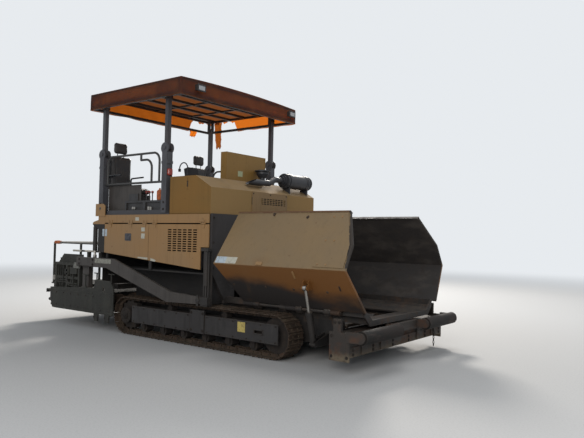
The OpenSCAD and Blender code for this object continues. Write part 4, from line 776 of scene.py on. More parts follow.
rear_lamp = to_rear(patch(0.14, 0.085, 0.03, 0.014, 0.005), [(-1.731, y, 1.6) for y in (-1.02, 1.02)])
red_lens = clouded("red_lens", (0.26, 0.025, 0.015), "ochre", ((0.12, 0.03, 0.02), 30.0, 0.5, 0.7, 0.5, 0.7),
    rough=0.25)
stand("rear_lamps", rear_lamp, red_lens, "chassis")

# Hood and exhaust
# The hood is one ochre box with a sloping front and a bolted grille panel. Its ochre is painted darker than
# the body's as the canopy's shadow, with a painted highlight on its front faces and painted shade inside; its
# top is dull with dust and soot. The muffler lies across it in black heat paint, held by two straps, and the
# air cleaner stands by.
# Painted shadow: the hood's ochre is darker than the body's, as the canopy shades it.
coat = ochre_finish("hood_ochre", (0.19, 0.104, 0.033), (0.162, 0.101, 0.037), 0.3, 0.3, 0.7, rough=0.8,
    gloss=0.15)
coat.layer((0.2, 0.142, 0.08), coat.facing_up(0.6, 0.9), 0.9, 0.6)
coat.cloud((0.05, 0.04, 0.031), 4.0, 0.45, 0.7, 0.9, 0.3, within=coat.times(coat.between(coat.axis("X"), 0.38,
    0.62), coat.facing_up(0.6, 0.9)))
# Painted highlight: faces that look forward are lighter.
coat.layer((0.27, 0.176, 0.078), coat.between(coat.facing("X"), 0.3, 0.8), 0.85, 0.8)
# The hood's inside and underside, told by normals that look to its middle or down, are painted shade.
away = coat.free("MULTIPLY", coat.facing("X"), coat.free("SUBTRACT", coat.axis("X"), 0.37))
sideways = coat.free("MULTIPLY", coat.facing("Y"), coat.axis("Y"))
hood_inside_shade = coat.math("MAXIMUM", coat.between(away, -0.05, -0.2), coat.between(sideways, -0.2, -0.6))
hood_inside_shade = coat.math("MAXIMUM", hood_inside_shade, coat.between(coat.facing(), -0.3, -0.6))
coat.layer((0.014, 0.012, 0.011), hood_inside_shade, 0.85)
hood_paint = coat.done("ochre")
wear("hood", material=hood_paint)
coat = ochre_finish("panel_ochre", (0.19, 0.112, 0.04), (0.165, 0.102, 0.042), 0.4)
# Painted shade: the walls of the grille's holes are near black.
hole_shade = coat.between(coat.free("ABSOLUTE", coat.facing("X")), 0.6, 0.4)
hole_shade = coat.times(hole_shade, coat.between(coat.axis("Z"), 2.015, 2.02),
    coat.between(coat.axis("Z"), 2.135, 2.13))
coat.layer((0.012, 0.01, 0.009), hole_shade, 0.8)
wear("hood_panel", material=coat.done())
heat_black = clouded("heat_black", (0.016, 0.017, 0.021), "black_paint",
    ((0.045, 0.042, 0.044), 5.0, 0.45, 0.75, 0.7, 0.6), ((0.075, 0.038, 0.022), 16.0, 0.6, 0.75, 0.85, 0.5),
    grain=[(70.0, 0.0006)], rough=0.5, gloss=0.45)
wear("muffler", "engine", material=heat_black)
stand("grille_screen", slab((0.736, -0.14, 1.96), (0.742, 0.42, 2.17), 0.001), heat_black, "chassis")


def strap(y, width=0.034, thick=0.004):
    """Band round the muffler: a flat ring, wide along Y and thick outwards."""
    radius = 0.1155
    section = np.array([(radius, -width / 2), (radius, width / 2), (radius + thick, width / 2),
        (radius + thick, -width / 2)])
    angle = np.linspace(0, 2 * np.pi, 40, endpoint=False)
    ring_at = np.stack([np.cos(angle), 0 * angle, np.sin(angle)], axis=1)
    return hoop(section[None, :, :1] * ring_at[:, None] + section[None, :, 1:] * (0, 1, 0) + (0.66, y, 2.455))


muffler_trim = joined(*[strap(y) for y in (0.66, 1.07)], *[strap(y, 0.012, 0.006) for y in (0.56, 1.165)],
    copies(bolt(0.01, 0.01), frames_at([(0.66, 0.66, 2.574), (0.66, 1.07, 2.574)])),
    copies(turned([(0.05, 0), (0.05, 0.028), (0.046, 0.03), (0.046, 0.036)], 20),
    frames_at([(0.66, 0.47, 2.455)], (1, 0, 0), (0, 1, 0))))
stand("muffler_straps", muffler_trim, heat_black, "chassis")
cleaner_ribs = joined(*[copies(turned([(0.001, 0), (0.07 + 0.004 * (i % 2), 0),
    (0.07 + 0.004 * (i % 2), 0.006), (0.001, 0.006)], 24), frames_at([(0.485, 0.22, 2.594 + 0.006 * i)]))
    for i in range(2)])
stand("air_cleaner_cap", cleaner_ribs, heat_black, "chassis")
latch = joined(on_side(0.3, 0.33, 2.235, 2.32, 1.212, 0.006), on_side(0.306, 0.324, 2.262, 2.292, 1.212,
    0.01))
panel_bolts = to_front(bolt(0.009, 0.006), [(0.8025, y, z) for y in (-0.345, 0.05, 0.445) for z in (1.885,
    2.185)])
stand("hood_latches", joined(both_sides(latch), panel_bolts), track_rust, "chassis")
fold = on_side(-0.046, 0.786, 1.852, 1.866, 1.22, 0.004)
hood_ribs = joined(both_sides(fold), slab((-0.045, -0.004, 2.3895), (0.2, 0.004, 2.394), 0.001),
    *[slab((-0.045, y - 0.004, 2.3895), (0.47, y + 0.004, 2.395), 0.001) for y in (0.61, -0.61)])
stand("hood_seams", hood_ribs, hood_paint, "chassis")
engine_trim = joined(slab((-0.22, -0.16, 1.759), (0.5, 0.16, 1.8), 0.012),
    both_sides(tube(bent([(-0.18, 0.425, 1.3), (-0.18, 0.475, 1.3), (0.48, 0.475, 1.42), (0.48, 0.425, 1.42)],
    0.03), 0.028, (0, 0, 1), 12)), both_sides(copies(turned([(0.055, 0), (0.055, 0.13), (0.048, 0.14)], 18),
    frames_at([(x, 0.475, 1.14) for x in (0.02, 0.2)]))))
stand("engine_pipes", engine_trim, heat_black, "chassis")

# Platform and console
# Checker-plate floor in dark grey, with raised lozenges worn pale. The desk is an ochre cabinet with two
# displays on stalks, key pads, a bent lamp neck at each seat, and an ochre gauge box on the hood.
SLATE = (0.046, 0.047, 0.055)
slate = slate_finish("slate_paint", SLATE, dusty=0.4, tarred=0.25)
coat = Finish("checker_floor", (0.03, 0.03, 0.035), rough=0.6)
across = coat.free("ADD", coat.axis("X"), coat.axis("Y"))
along = coat.free("SUBTRACT", coat.axis("X"), coat.axis("Y"))
ridge = [coat.between(coat.free("ABSOLUTE", coat.ripple(way, 90.0)), a, b)
    for way, a, b in ((across, 0.86, 0.96), (along, 0.35, 0.55))]
lozenge = coat.times(ridge[0], ridge[1], coat.facing_up())
coat.layer((0.095, 0.09, 0.085), lozenge, 0.45, 0.7)
coat.cloud((0.085, 0.07, 0.052), 3.0, 0.4, 0.65, 0.9, 0.7, within=coat.facing_up())
coat.bump(lozenge, 0.0015)
wear("platform", material=coat.done())
coat = ochre_finish("console_ochre", (0.205, 0.114, 0.027), (0.178, 0.103, 0.028), 0.3, 0.35, 0.3, gloss=0.3)
coat.cloud((0.03, 0.022, 0.015), 22.0, 0.7, 0.74, 0.8, 0.8, detail=2.0)
display = coat.times(coat.between(coat.axis("Z"), 2.362, 2.366), coat.between(coat.axis("X"), 0.15, 0.1))
coat.layer((0.016, 0.017, 0.02), display, 0.55)
wear("console", material=coat.done())
glass = clouded("dark_glass", (0.012, 0.014, 0.018), "black_paint", ((0.04, 0.042, 0.046), 14.0, 0.5, 0.75,
    0.5, 0.7), rough=0.12)
coat = Finish("key_caps", (0.11, 0.11, 0.11), rough=0.55)
coat.cloud((0.16, 0.05, 0.03), 14.0, 0.6, 0.61, 0.5, detail=0.0)
coat.cloud((0.07, 0.12, 0.05), 11.0, 0.64, 0.65, 0.5, detail=0.0)
keys = coat.done("black_paint")
tilt = math.radians(12)
screens = copies(patch(0.165, 0.12, 0.003, 0.006), frames_at([(-0.27 - 0.0555 * math.cos(tilt), y, 2.51)
    for y in (-0.6, 0.6)], (0, -1, 0), (-math.cos(tilt), 0, -math.sin(tilt))))
stand("display_screens", screens, glass, "chassis")
key_places = [(x, c + y, 2.36) for c in (-0.6, 0.0, 0.6) for x in (-0.13, -0.1) for y in np.linspace(-0.13,
    0.13, 6) if abs(c) < 0.1 or x > -0.12]
stand("desk_keys", copies(patch(0.018, 0.024, 0.006, 0.003, 0.001), frames_at(key_places)), keys, "chassis")
boot = turned([(0.04, 0), (0.034, 0.012), (0.028, 0.016), (0.026, 0.024), (0.018, 0.03), (0.01, 0.036),
    (0.009, 0.085), (0.018, 0.092), (0.021, 0.11), (0.014, 0.122)], 18)
stand("desk_joysticks", copies(boot, frames_at([(-0.2, -0.32, 2.36), (-0.2, 0.32, 2.36)])), glass, "chassis",
    smooth=True)
head_card = to_front(patch(0.105, 0.085, 0.002), [(0.35, -0.155, 2.515)])
green_card = card("green_card", (0.33, 0.36, 0.22))
stand("gauge_box_card", head_card, green_card, "chassis")
head_seams = joined(*[to_front(patch(0.006, 0.42, 0.002, 0.001, 0.0005), [(0.35, y, 2.61)]) for y in (-0.452,
    0.432)])
stand("gauge_box_seams", joined(head_seams, to_front(bolt(0.007, 0.005),
    [(0.3505, y, z) for y in (-0.42, -0.02, 0.4) for z in (2.42, 2.8)])), hood_paint, "chassis")

# Seats
# Black vinyl over foam: a cushion, a tall back and a headrest each, swollen by their foam between sewn
# seams, with two channels in cushion and back. They stand on a box pedestal with a sliding base.
SEAT_X, SEAT_Y, SEAT_Z = -1.38, 0.89, 2.29


def pad_rings(low, high, round_r, crown, axis):
    """Crowned closed pad: rounded rectangles along an axis, drawn in towards both faces as a quarter circle.

    Inset = r(1 - cos a) over the rim; over the face the ring shrinks by s and rises by crown(1 - s^2)."""
    low, high = np.array(low, float), np.array(high, float)
    order = [(1, 2, 0), (2, 0, 1), (0, 1, 2)]["xyz".index(axis)]
    size, middle = (high - low)[list(order)], ((low + high) / 2)[list(order)]
    a = np.linspace(0, np.pi / 2, 5)
    rim_in, rim_up = round_r * (1 - np.sin(a)), round_r * (1 - np.cos(a))
    shrink = np.array([0.9, 0.7, 0.5, 0.3, 0.1])
    half = size[2] / 2
    levels = [(0.0, s, -half - crown * (1 - s * s)) for s in shrink[::-1]]
    levels += [(i, 1.0, -half + u) for i, u in zip(rim_in, rim_up)]
    levels += [(i, 1.0, half - u) for i, u in zip(rim_in[::-1], rim_up[::-1])]
    levels += [(0.0, s, half + crown * (1 - s * s)) for s in shrink]
    rings = []
    for inset, scale, z in levels:
        drawn_in = 2 * max(inset, round_r if scale < 1 else 0)
        flat = rounded(size[0] - drawn_in, size[1] - drawn_in, 0.045, 8) * scale
        rings.append(np.column_stack([flat, np.full(len(flat), z)]) + middle)
    points, groups = skin(np.stack(rings))
    back = np.argsort(order)
    return points[:, back], groups


def swell(piece, room):
    """Blows the pad up from inside as cloth with gravity off, and lets no point move further than room."""
    remesh = piece.modifiers.new("grid", "REMESH")
    remesh.mode, remesh.voxel_size = "VOXEL", 0.009
    bpy.context.view_layer.update()
    flat = bpy.data.meshes.new_from_object(piece.evaluated_get(bpy.context.evaluated_depsgraph_get()))
    piece.modifiers.clear()
    piece.data = flat
    start = np.empty(len(flat.vertices) * 3, np.float32)
    flat.vertices.foreach_get("co", start)
    cloth = piece.modifiers.new("foam", "CLOTH")
    cloth.settings.use_pressure = True
    cloth.settings.uniform_pressure_force = 4.0
    cloth.settings.effector_weights.gravity = 0.0
    for step in range(1, 21):
        bpy.context.scene.frame_set(step)
    blown = bpy.data.meshes.new_from_object(piece.evaluated_get(bpy.context.evaluated_depsgraph_get()))
    piece.modifiers.clear()
    ended = np.empty_like(start)
    blown.vertices.foreach_get("co", ended)
    moved = (ended - start).reshape(-1, 3)
    far = np.linalg.norm(moved, axis=1, keepdims=True)
    moved *= np.minimum(1.0, room / np.maximum(far, 1e-06))
    start = (start.reshape(-1, 3) + moved).ravel()
    flat.vertices.foreach_set("co", start)
    bpy.context.scene.frame_set(1)
    return flat, start.reshape(-1, 3)


def groove(distance, width, depth):
    """Depth of a sewn channel at a distance from its line: a bell, deepest on the line."""
    return depth * np.exp(-(distance / width) ** 2)


coat = Finish("seat_vinyl", (0.02, 0.02, 0.022), rough=0.5, gloss=0.45)
coat.cloud((0.038, 0.036, 0.034), 5.0, 0.42, 0.7, 0.7, 0.8)
coat.cloud((0.07, 0.06, 0.048), 12.0, 0.45, 0.7, 0.9, 0.6, within=coat.facing_up())
grain = coat.node("TexVoronoi", Vector=coat.place, Scale=520.0).outputs["Distance"]
coat.bump(grain, 0.0003).bump(coat.noise(26.0), 0.0015)
vinyl = coat.done("seat_cover")
# Columns: name, lowest and highest corner from the seat's middle, axis across the pad, channels across Y
pads = [("cushion", (-0.235, -0.225, -0.09), (0.235, 0.225, -0.018), "z", (-0.115, 0.115)),
    ("back", (-0.35, -0.212, -0.04), (-0.276, 0.212, 0.545), "x", (-0.115, 0.115)),
    ("headrest", (-0.332, -0.128, 0.582), (-0.284, 0.128, 0.765), "x", ())]
for side, name in SIDES:
    for kind, low, high, axis, channels in pads:
        shift = np.array((SEAT_X, side * SEAT_Y, SEAT_Z))
        pad = stand("seat_%s_%s" % (kind, name), pad_rings(shift + low, shift + high, 0.02, 0.008, axis),
            vinyl, "chassis", smooth=True)
        flat, points = swell(pad, 0.014)
        across_y = points[:, 1] - side * SEAT_Y
        column = "xyz".index(axis)
        middle = (low[column] + high[column]) / 2 + shift[column]
        depth = sum((groove(across_y - line, 0.007, 0.006) for line in channels), np.zeros(len(points)))
        points[:, column] -= np.sign(points[:, column] - middle) * depth
        flat.vertices.foreach_set("co", points.ravel())
        flat.materials.clear()
        flat.materials.append(vinyl)
        flat.shade_smooth()
        pad.data = flat
        pad.modifiers.new("fine", "SUBSURF").levels = 1
        pad.modifiers["fine"].render_levels = 1
    piping = tube(np.insert(rounded(0.5, 0.48, 0.055, 8), 2, 0, axis=1)[list(range(32)) + [0]] * (0.94, 0.94,
        1) + (SEAT_X, side * SEAT_Y, SEAT_Z - 0.03), 0.004, (0, 0, 1), 6)
    posts = copies(turned([(0.008, 0), (0.008, 0.09)], 10), frames_at([(SEAT_X - 0.307, side * SEAT_Y + y,
        SEAT_Z + 0.505) for y in (-0.06, 0.06)]))
    shell = to_rear(patch(0.4, 0.52, 0.012, 0.05, 0.005), [(SEAT_X - 0.352, side * SEAT_Y, SEAT_Z + 0.25)])
    arms = both_sides(tube(bent([(-0.3, 0.222, 0.06), (-0.3, 0.222, 0.19), (0.02, 0.222, 0.2)], 0.04), 0.014))
    arms = (arms[0] + (SEAT_X, side * SEAT_Y, SEAT_Z), arms[1])
    stand("seat_frame_" + name, joined(posts, shell, arms), glass, "chassis")
    stand("seat_piping_" + name, piping, vinyl, "chassis", smooth=True)
    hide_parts("seat_" + name)
wear("seat_bases", material=slate_finish("base_paint", (0.024, 0.024, 0.026), 0.35, 0.3, 0.4))
worn_white = clouded("worn_white", (0.3, 0.29, 0.27), "black_paint", ((0.1, 0.085, 0.07), 25.0, 0.5, 0.7, 0.7,
    0.8), rough=0.55)
lever_knobs = both_sides(copies(turned([(0.011, -0.018), (0.017, -0.012), (0.021, 0.002), (0.017, 0.016),
    (0.008, 0.021)], 14), frames_at([(x, 1.09, 2.19) for x in (-0.74, -0.67, -0.6)])))
stand("lever_knobs", lever_knobs, red_lens, "chassis", smooth=True)
locker_bits = joined(to_side(turned([(0.02, 0), (0.02, 0.01), (0.01, 0.014)], 14),
    [(x, -1.1755, 1.945) for x in (-0.95, -0.91)]), to_side(patch(0.045, 0.06, 0.006),
    [(-0.575, -1.1755, 1.935)]), to_side(patch(0.03, 0.07, 0.005), [(-0.525, -1.1755, 1.925)]))
stand("locker_switches", locker_bits, worn_white, "chassis")
triangle = np.array([(-1.615, 1.975), (-1.525, 1.975), (-1.57, 2.03)])
stand("triangle_blank", bar(triangle, -1.085, -1.088), pale_card, "chassis")
stand("triangle_plate", slab((-1.64, -1.084, 1.866), (-1.5, -1.076, 2.05), 0.002), dark_slate, "chassis")
vest = clouded("orange_cloth", (0.4, 0.105, 0.03), "ochre", ((0.16, 0.05, 0.03), 22.0, 0.42, 0.65, 0.9, 0.7),
    grain=[(60.0, 0.002)], rough=0.85)
extinguisher = copies(turned([(0.03, 0), (0.042, 0.008), (0.044, 0.03), (0.044, 0.135), (0.03, 0.155),
    (0.012, 0.165), (0.012, 0.185)], 20), frames_at([(-0.42, -1.1, 2.0605)]))
stand("extinguisher", extinguisher, vest, "chassis", smooth=True)

# Guard rails and roof posts
# Round tube hoops along both sides of the platform, and four square posts that fold on pins. Dark grey,
# the rear posts paler with dust. A red lamp sits on the right front post.
wear("guard_rails", material=slate_finish("rail_paint", (0.034, 0.034, 0.034), 0.3, 0.2, 0.6))
wear("lower_posts", material=slate)
wear("upper_posts_rear", material=slate_finish("slate_rear_posts", (0.062, 0.066, 0.073), dusty=0.4,
    tarred=0.15))
wear("upper_posts_front", material=slate_finish("slate_front_posts", (0.04, 0.037, 0.042), dusty=0.4,
    tarred=0.2))
panel_line = np.array([(-1.62, 1.866), (-1.155, 1.866), (-1.155, 2.062), (-0.8, 2.062), (-0.8, 2.31),
    (-1.62, 2.31)])
stand("rail_panels", both_sides(bar(panel_line, -1.14, -1.145)), dark_slate, "chassis")
stand("post_lamp", to_front(patch(0.085, 0.1, 0.032, 0.018, 0.01), [(-0.105, -1.195, 2.465)]), red_lens,
    "chassis")
post_bolts = side_bolts([(x, z) for x in (-1.685, -0.16) for z in (1.92, 2.02)], 1.251, 0.012, 0.009)
stand("post_bolts", post_bolts, oily_steel, "chassis")

# Canopy
# A tube frame under one sheet of orange tarpaulin with a deep skirt. Outside it is bleached and brown with
# dirt, and painted darker as shade; inside it is clean, with painted shade on its ceiling, and the sky glows
# through it. Its left rear corner is torn away, and rags hang.
wear("canopy_frame", material=slate_finish("canopy_bars", (0.022, 0.019, 0.018), 0.3, 0.2, 0.5))
ROOF_X0, ROOF_X1, ROOF_Y, ROOF_Z, CROWN, HEM_Z = -1.9, 0.27, 1.353, 3.847, 0.045, 3.546


def roof_outline(inset):
    """Edge of the canopy seen from above: a rectangle with tight corners and points close together."""
    half_x, half_y, r = (ROOF_X1 - ROOF_X0) / 2 - inset, ROOF_Y - inset, 0.022 - min(inset, 0.012)
    corners = rounded(2 * half_x, 2 * half_y, r, 6).reshape(4, 6, 2)
    runs = [np.linspace(corners[i, -1], corners[(i + 1) % 4, 0], count, endpoint=False)[1:]
        for i, count in enumerate((92, 114, 92, 114))]
    return np.concatenate([part for i in range(4) for part in (corners[i], runs[i])])


def roof_top(x, y):
    """Height of the sheet: a parabola across the machine that hangs a little between the roof bars."""
    span = np.sin(np.pi * (x - ROOF_X0) / 0.38) ** 2
    return ROOF_Z - CROWN * (y / ROOF_Y) ** 2 - 0.012 * span * (1 - (y / ROOF_Y) ** 2)


def hem_line(x, y):
    """Lower edge of the skirt: slightly wavy, and torn off high up round the left rear corner."""
    around_it = 3.0 * x + 2.2 * y
    wave = 0.006 * (1 + np.sin(5.1 * around_it)) * (0.5 + 0.5 * np.sin(1.7 * around_it + 1.0))
    tear = np.where(y > ROOF_Y - 0.05, np.clip((-1.12 - x) / 0.1, 0, 1),
        np.where(x < ROOF_X0 + 0.05, np.clip((y - 0.82) / 0.07, 0, 1), 0.0))
    ragged = 0.02 * np.sin(31 * x + 23 * y) + 0.012 * np.sin(83 * x + 61 * y + 1.3)
    high = ROOF_Z - CROWN - 0.05 + ragged
    low = HEM_Z + wave + 0.25 * np.abs(ragged) * np.clip(tear * 8, 0, 1)
    return low + (high - low) * tear


def roof_surface(inset):
    """Rings of the sheet at an inset, from the middle of the top, over the rounded edge and down the skirt.

    The skirt stands out in folds: sums of sines along the edge that grow towards the hem."""
    edge = roof_outline(0.0)
    x0 = (ROOF_X0 + ROOF_X1) / 2
    ex, ey = edge[:, 0] + x0, edge[:, 1]
    rings = []
    flat = roof_outline(0.01 + inset)
    for s in np.concatenate([[0.03], np.linspace(0.08, 1.0, 26)]):
        px, py = s * flat[:, 0] + x0, s * flat[:, 1]
        rings.append(np.stack([px, py, roof_top(px, py) - inset], axis=1))
    edge_z = roof_top(ex, ey)
    hem = hem_line(ex, ey)
    corner_out = roof_outline(inset)
    for a in np.linspace(0, np.pi / 2, 4)[1:]:
        ring = flat + (corner_out - flat) * np.sin(a)
        rings.append(np.stack([ring[:, 0] + x0, ring[:, 1],
            edge_z - inset - (0.01 - inset * 0.5) * (1 - np.cos(a))], axis=1))
    run = np.cumsum(np.linalg.norm(np.diff(edge, axis=0, prepend=edge[-1:]), axis=1))
    out = corner_out - flat
    out /= np.linalg.norm(out, axis=1, keepdims=True)
    for t in np.linspace(0.05, 1.0, 18):
        z = (edge_z - 0.01) * (1 - t) + hem * t
        wave = 0.0035 * np.sin(7.3 * run + 1.5 * np.sin(2.3 * run))
        wave += 0.0022 * np.sin(23.0 * run + 4.0 * t) + 0.0012 * np.sin(61.0 * run + 2.0 * t)
        swing = (0.25 + 0.75 * t) * (0.0045 + wave) + 0.002 * (t > 0.9)
        ring = corner_out + out * swing[:, None]
        rings.append(np.stack([ring[:, 0] + x0, ring[:, 1], z], axis=1))
    return np.stack(rings)


outer, inner = roof_surface(0.0), roof_surface(0.003)
points, groups = skin(np.concatenate([inner, outer[::-1]]))
# The outside's browns are partly dirt and partly painted shade, darker than the inside's orange.
coat = Finish("tarpaulin_outside", (0.032, 0.027, 0.024), rough=0.85, gloss=0.2)
coat.cloud((0.02, 0.02, 0.019), 2.2, 0.4, 0.62, 0.85, 0.85, stretch=(1, 1, 1.4))
coat.cloud((0.078, 0.042, 0.024), 4.1, 0.5, 0.68, 0.8, 0.6)
coat.cloud((0.032, 0.024, 0.02), 7.0, 0.55, 0.75, 0.85, 0.6, stretch=(3, 3, 0.4))
coat.cloud((0.1, 0.08, 0.062), 4.0, 0.3, 0.6, 0.9, 0.6, within=coat.facing_up())


def weave(coat):
    """Bump of a plain weave: crossed sine ridges, 2 mm apart, along X, Y and Z."""
    threads = [coat.free("ABSOLUTE", coat.ripple(coat.axis(name), 1550.0)) for name in "XYZ"]
    coat.bump(coat.free("MULTIPLY", coat.free("ADD", threads[0], coat.free("ADD", threads[1], threads[2])),
        0.33), 0.0003)
    coat.bump(coat.noise(14.0), 0.004)


def lit_through(coat, tint, share):
    """Lets light through the cloth: a translucent shader of the tint, mixed in by share."""
    coat.done("tarpaulin")
    blend(coat, share, coat.node("BsdfTranslucent", Color=tint).outputs[0])
    return coat.material


weave(coat)
tarp_outside = lit_through(coat, (0.9, 0.46, 0.16, 1.0), 0.38)
coat = Finish("tarpaulin_inside", (0.26, 0.085, 0.026), rough=0.75, gloss=0.3)
coat.cloud((0.18, 0.072, 0.03), 3.0, 0.45, 0.7, 0.8, 0.7)
coat.cloud((0.08, 0.038, 0.022), 6.0, 0.56, 0.74, 0.85, 0.6)
# Painted shade: the ceiling is darker than the skirts, in its colour and in the light it lets through.
ceiling_shade = coat.between(coat.facing(), -0.4, -0.8)
coat.layer((0.13, 0.06, 0.03), ceiling_shade, 0.8, 0.6)
weave(coat)
sun_tint = coat.node("MixRGB", Fac=ceiling_shade, Color1=(1.0, 0.48, 0.12, 1.0), Color2=(0.33, 0.2, 0.15, 1.0))
tarp_inside = lit_through(coat, sun_tint.outputs[0], 0.75)
tarp = stand("canopy_cloth", (points, groups), tarp_outside, "canopy")
tarp.data.materials.append(tarp_inside)
lining_quads = (len(inner) - 1) * inner.shape[1]
slots = np.zeros(len(tarp.data.polygons), np.int32)
slots[:lining_quads] = 1
slots[len(groups[0])] = 1
tarp.data.polygons.foreach_set("material_index", slots)
tarp.data.polygons.foreach_set("use_smooth", np.ones(len(slots), bool))


def rag(place, across, down, width, length, phase):
    """Torn strip: a grid that narrows and curls as it hangs, 2 mm thick, closed all round."""
    u = np.linspace(-0.5, 0.5, 13)
    v = np.linspace(0, 1, 17)[:, None]
    half = width * (1 - 0.35 * v + 0.06 * np.sin(19 * v + phase) + 0.04 * np.sin(47 * v)) * u
    half = half + 0.1 * width * np.sin(3.0 * v + phase)
    drop = length * v * (1 - 0.1 * np.abs(np.sin(6 * u + phase))) + 0 * half
    out = 0.007 * np.sin(13 * u + 4 * v + phase) * (0.3 + 0.7 * v)
    across, down = np.array(across, float), np.array(down, float)
    normal = np.cross(down, across)
    base = np.array(place, float) + half[..., None] * across + drop[..., None] * down
    front = base + (out + 0.001)[..., None] * normal
    back = base + (out - 0.001)[..., None] * normal
    return skin(np.concatenate([front, back[:, ::-1]], axis=1)[::-1])


rear_rag = stand("canopy_rag_rear", rag((-1.8965, 0.91, 3.6), (0, 1, 0), (0, 0, -1), 0.2, 0.16, 0.4),
    tarp_inside, "canopy", smooth=True)
side_rag = stand("canopy_rag_side", rag((-1.62, 1.345, 3.76), (-1, 0, 0), (0, 0, -1), 0.2, 0.53, 1.1),
    tarp_outside, "canopy", smooth=True)
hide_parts("canopy_tarp")
coat = Finish("lamp_glass", (0.42, 0.43, 0.45), rough=0.12, gloss=0.6)
flute = coat.free("ABSOLUTE", coat.ripple(coat.axis("Y"), 260.0))
coat.layer((0.2, 0.21, 0.22), coat.between(flute, 0.3, 0.9), 0.2, 0.7)
coat.cloud((0.1, 0.09, 0.08), 20.0, 0.55, 0.75, 0.6, 0.7)
coat.bump(flute, 0.001)
lenses = to_front(patch(0.118, 0.062, 0.004, 0.008), [(0.33, y, 3.69) for y in (-1.0, 1.18)])
stand("roof_lamp_lenses", lenses, coat.done("chrome"), "canopy")
hoods = to_front(patch(0.166, 0.01, 0.012, 0.003, 0.002), [(0.32, y, 3.736) for y in (-1.0, 1.18)])
stand("roof_lamp_hoods", hoods, heat_black, "canopy")

# Tow arms and columns
# Flat forged arms in dark paint, each on a pin in a carriage that slides on two bars in its column. Each
# arm carries a worn reflective strip, left blank. A scale plate stands behind each column's bar.
ARM_Y = 1.325
wear("tow_arm_right", "tow_arm_left", material=dark_slate)
coat = Finish("reflective_strip", (0.24, 0.24, 0.2), rough=0.35)
coat.cloud((0.07, 0.065, 0.055), 30.0, 0.48, 0.66, 0.7, 0.85)
honey = coat.node("TexVoronoi", Vector=coat.place, Scale=170.0).outputs["Distance"]
coat.layer((0.14, 0.14, 0.12), coat.between(honey, 0.35, 0.6), 0.5, 0.6)
reflective = coat.done("ochre")
for side, name in SIDES:
    stand("arm_strip_" + name, on_side(-1.69, -1.27, 1.068, 1.14, ARM_Y, 0.0015, side), reflective, "screed")
    pin_end = joined(turned([(0.036, 0), (0.036, 0.01), (0.028, 0.014)], 20),
        patch(0.034, 0.15, 0.008, 0.008, 0.002))
    stand("tow_pin_" + name, to_side(pin_end, [(0.7, side * 1.34, 0.655)], side), tarred,
        "tow_carriage_" + name)
    ends = joined(to_side(bolt(0.014, 0.01), [(x, side * ARM_Y, z) for x, z in ((-1.75, 1.04), (-1.75, 1.115),
        (-2.12, 1.04), (-2.12, 1.115))], side), on_side(-2.18, -1.71, 1.005, 1.012, ARM_Y, 0.004, side))
    stand("arm_bolts_" + name, ends, oily_steel, "screed")
coat = Finish("scale_plate", (0.2, 0.2, 0.19), rough=0.45)
marks = coat.between(coat.ripple(coat.axis("Z"), 628.0), 0.6, 0.8)
coat.layer((0.02, 0.02, 0.02), marks, 0.5, 0.8)
coat.cloud((0.06, 0.05, 0.04), 18.0, 0.45, 0.65, 0.8, 0.8)
scales = joined(*[on_side(0.792, 0.808, 0.9, 1.18, 1.262, 0.003, side) for side in (-1, 1)])
stand("level_scales", scales, coat.done("worn_steel"), "chassis")
column_bolts = side_bolts([(0.765, 1.34), (0.872, 1.34), (0.765, 0.62), (0.872, 0.62)], 1.262, 0.01, 0.008)
stand("column_bolts", column_bolts, oily_steel, "chassis")

# Screed, extensions and walkway
# Heavy black plate work: box screed, two sliding extensions with end gates on skids, upright guards, a
# walkway of punched plate and a tube handrail. All is caked with bitumen gone greenish grey with dust.
def screed_finish(name, base=(0.021, 0.021, 0.018), top=0.4):
    """Bitumen film gone dull: greenish grey dust in streaks, black runs, scraped edges."""
    coat = Finish(name, base, rough=0.72, gloss=0.35)
    coat.cloud((0.04, 0.04, 0.034), 4.0, 0.42, 0.66, 0.85, 0.8, stretch=(2, 2, 0.7))
    coat.cloud((0.009, 0.008, 0.007), 5.0, 0.54, 0.7, 0.5, 0.7, stretch=(3, 3, 0.5))
    coat.cloud((0.055, 0.04, 0.028), 9.0, 0.6, 0.78, 0.9, 0.6)
    coat.cloud((0.085, 0.078, 0.064), 8.0, 0.4, 0.7, 0.95, top, within=coat.facing_up())
    coat.cloud((0.12, 0.112, 0.096), 19.0, 0.4, 0.58, 0.6, 0.8, within=coat.edges(0.006))
    coat.bump(coat.between(coat.noise(130.0, detail=2.0), 0.52, 0.72), 0.0012).bump(coat.noise(20.0), 0.0025)
    return coat


caked = screed_finish("caked_screed").done("dark_steel")
wear("extension_right", "extension_left", material=caked)
coat = screed_finish("caked_box", (0.015, 0.014, 0.013))
coat.layer((0.009, 0.008, 0.008), coat.between(coat.facing("X"), 0.4, 0.8), 0.8, 0.9)
wear("screed_box", material=coat.done())
apron = joined(slab((-1.8, -1.1, 0.64), (-1.794, 1.1, 0.985), 0.002),
    *[slab((-1.818, y, 0.64), (-1.8, y + 0.01, 0.975), 0.002) for y in (-1.05, -0.53, 0.0, 0.52, 1.04)])
stand("screed_apron", apron, tarred, "screed")
coat = screed_finish("punched_deck", top=0.12)
hole = coat.math("MULTIPLY", *[coat.between(coat.ripple(coat.axis(name), 157.0), 0.35, 0.6) for name in "XY"])
flat_top = coat.facing_up(0.9, 0.97)
# Painted shade: the punched holes in the deck's top are near black.
walk = coat.times(hole, flat_top, coat.between(coat.axis("Z"), 0.72, 0.68))
coat.layer((0.005, 0.005, 0.005), walk, 0.7)
coat.bump(walk, -0.004)
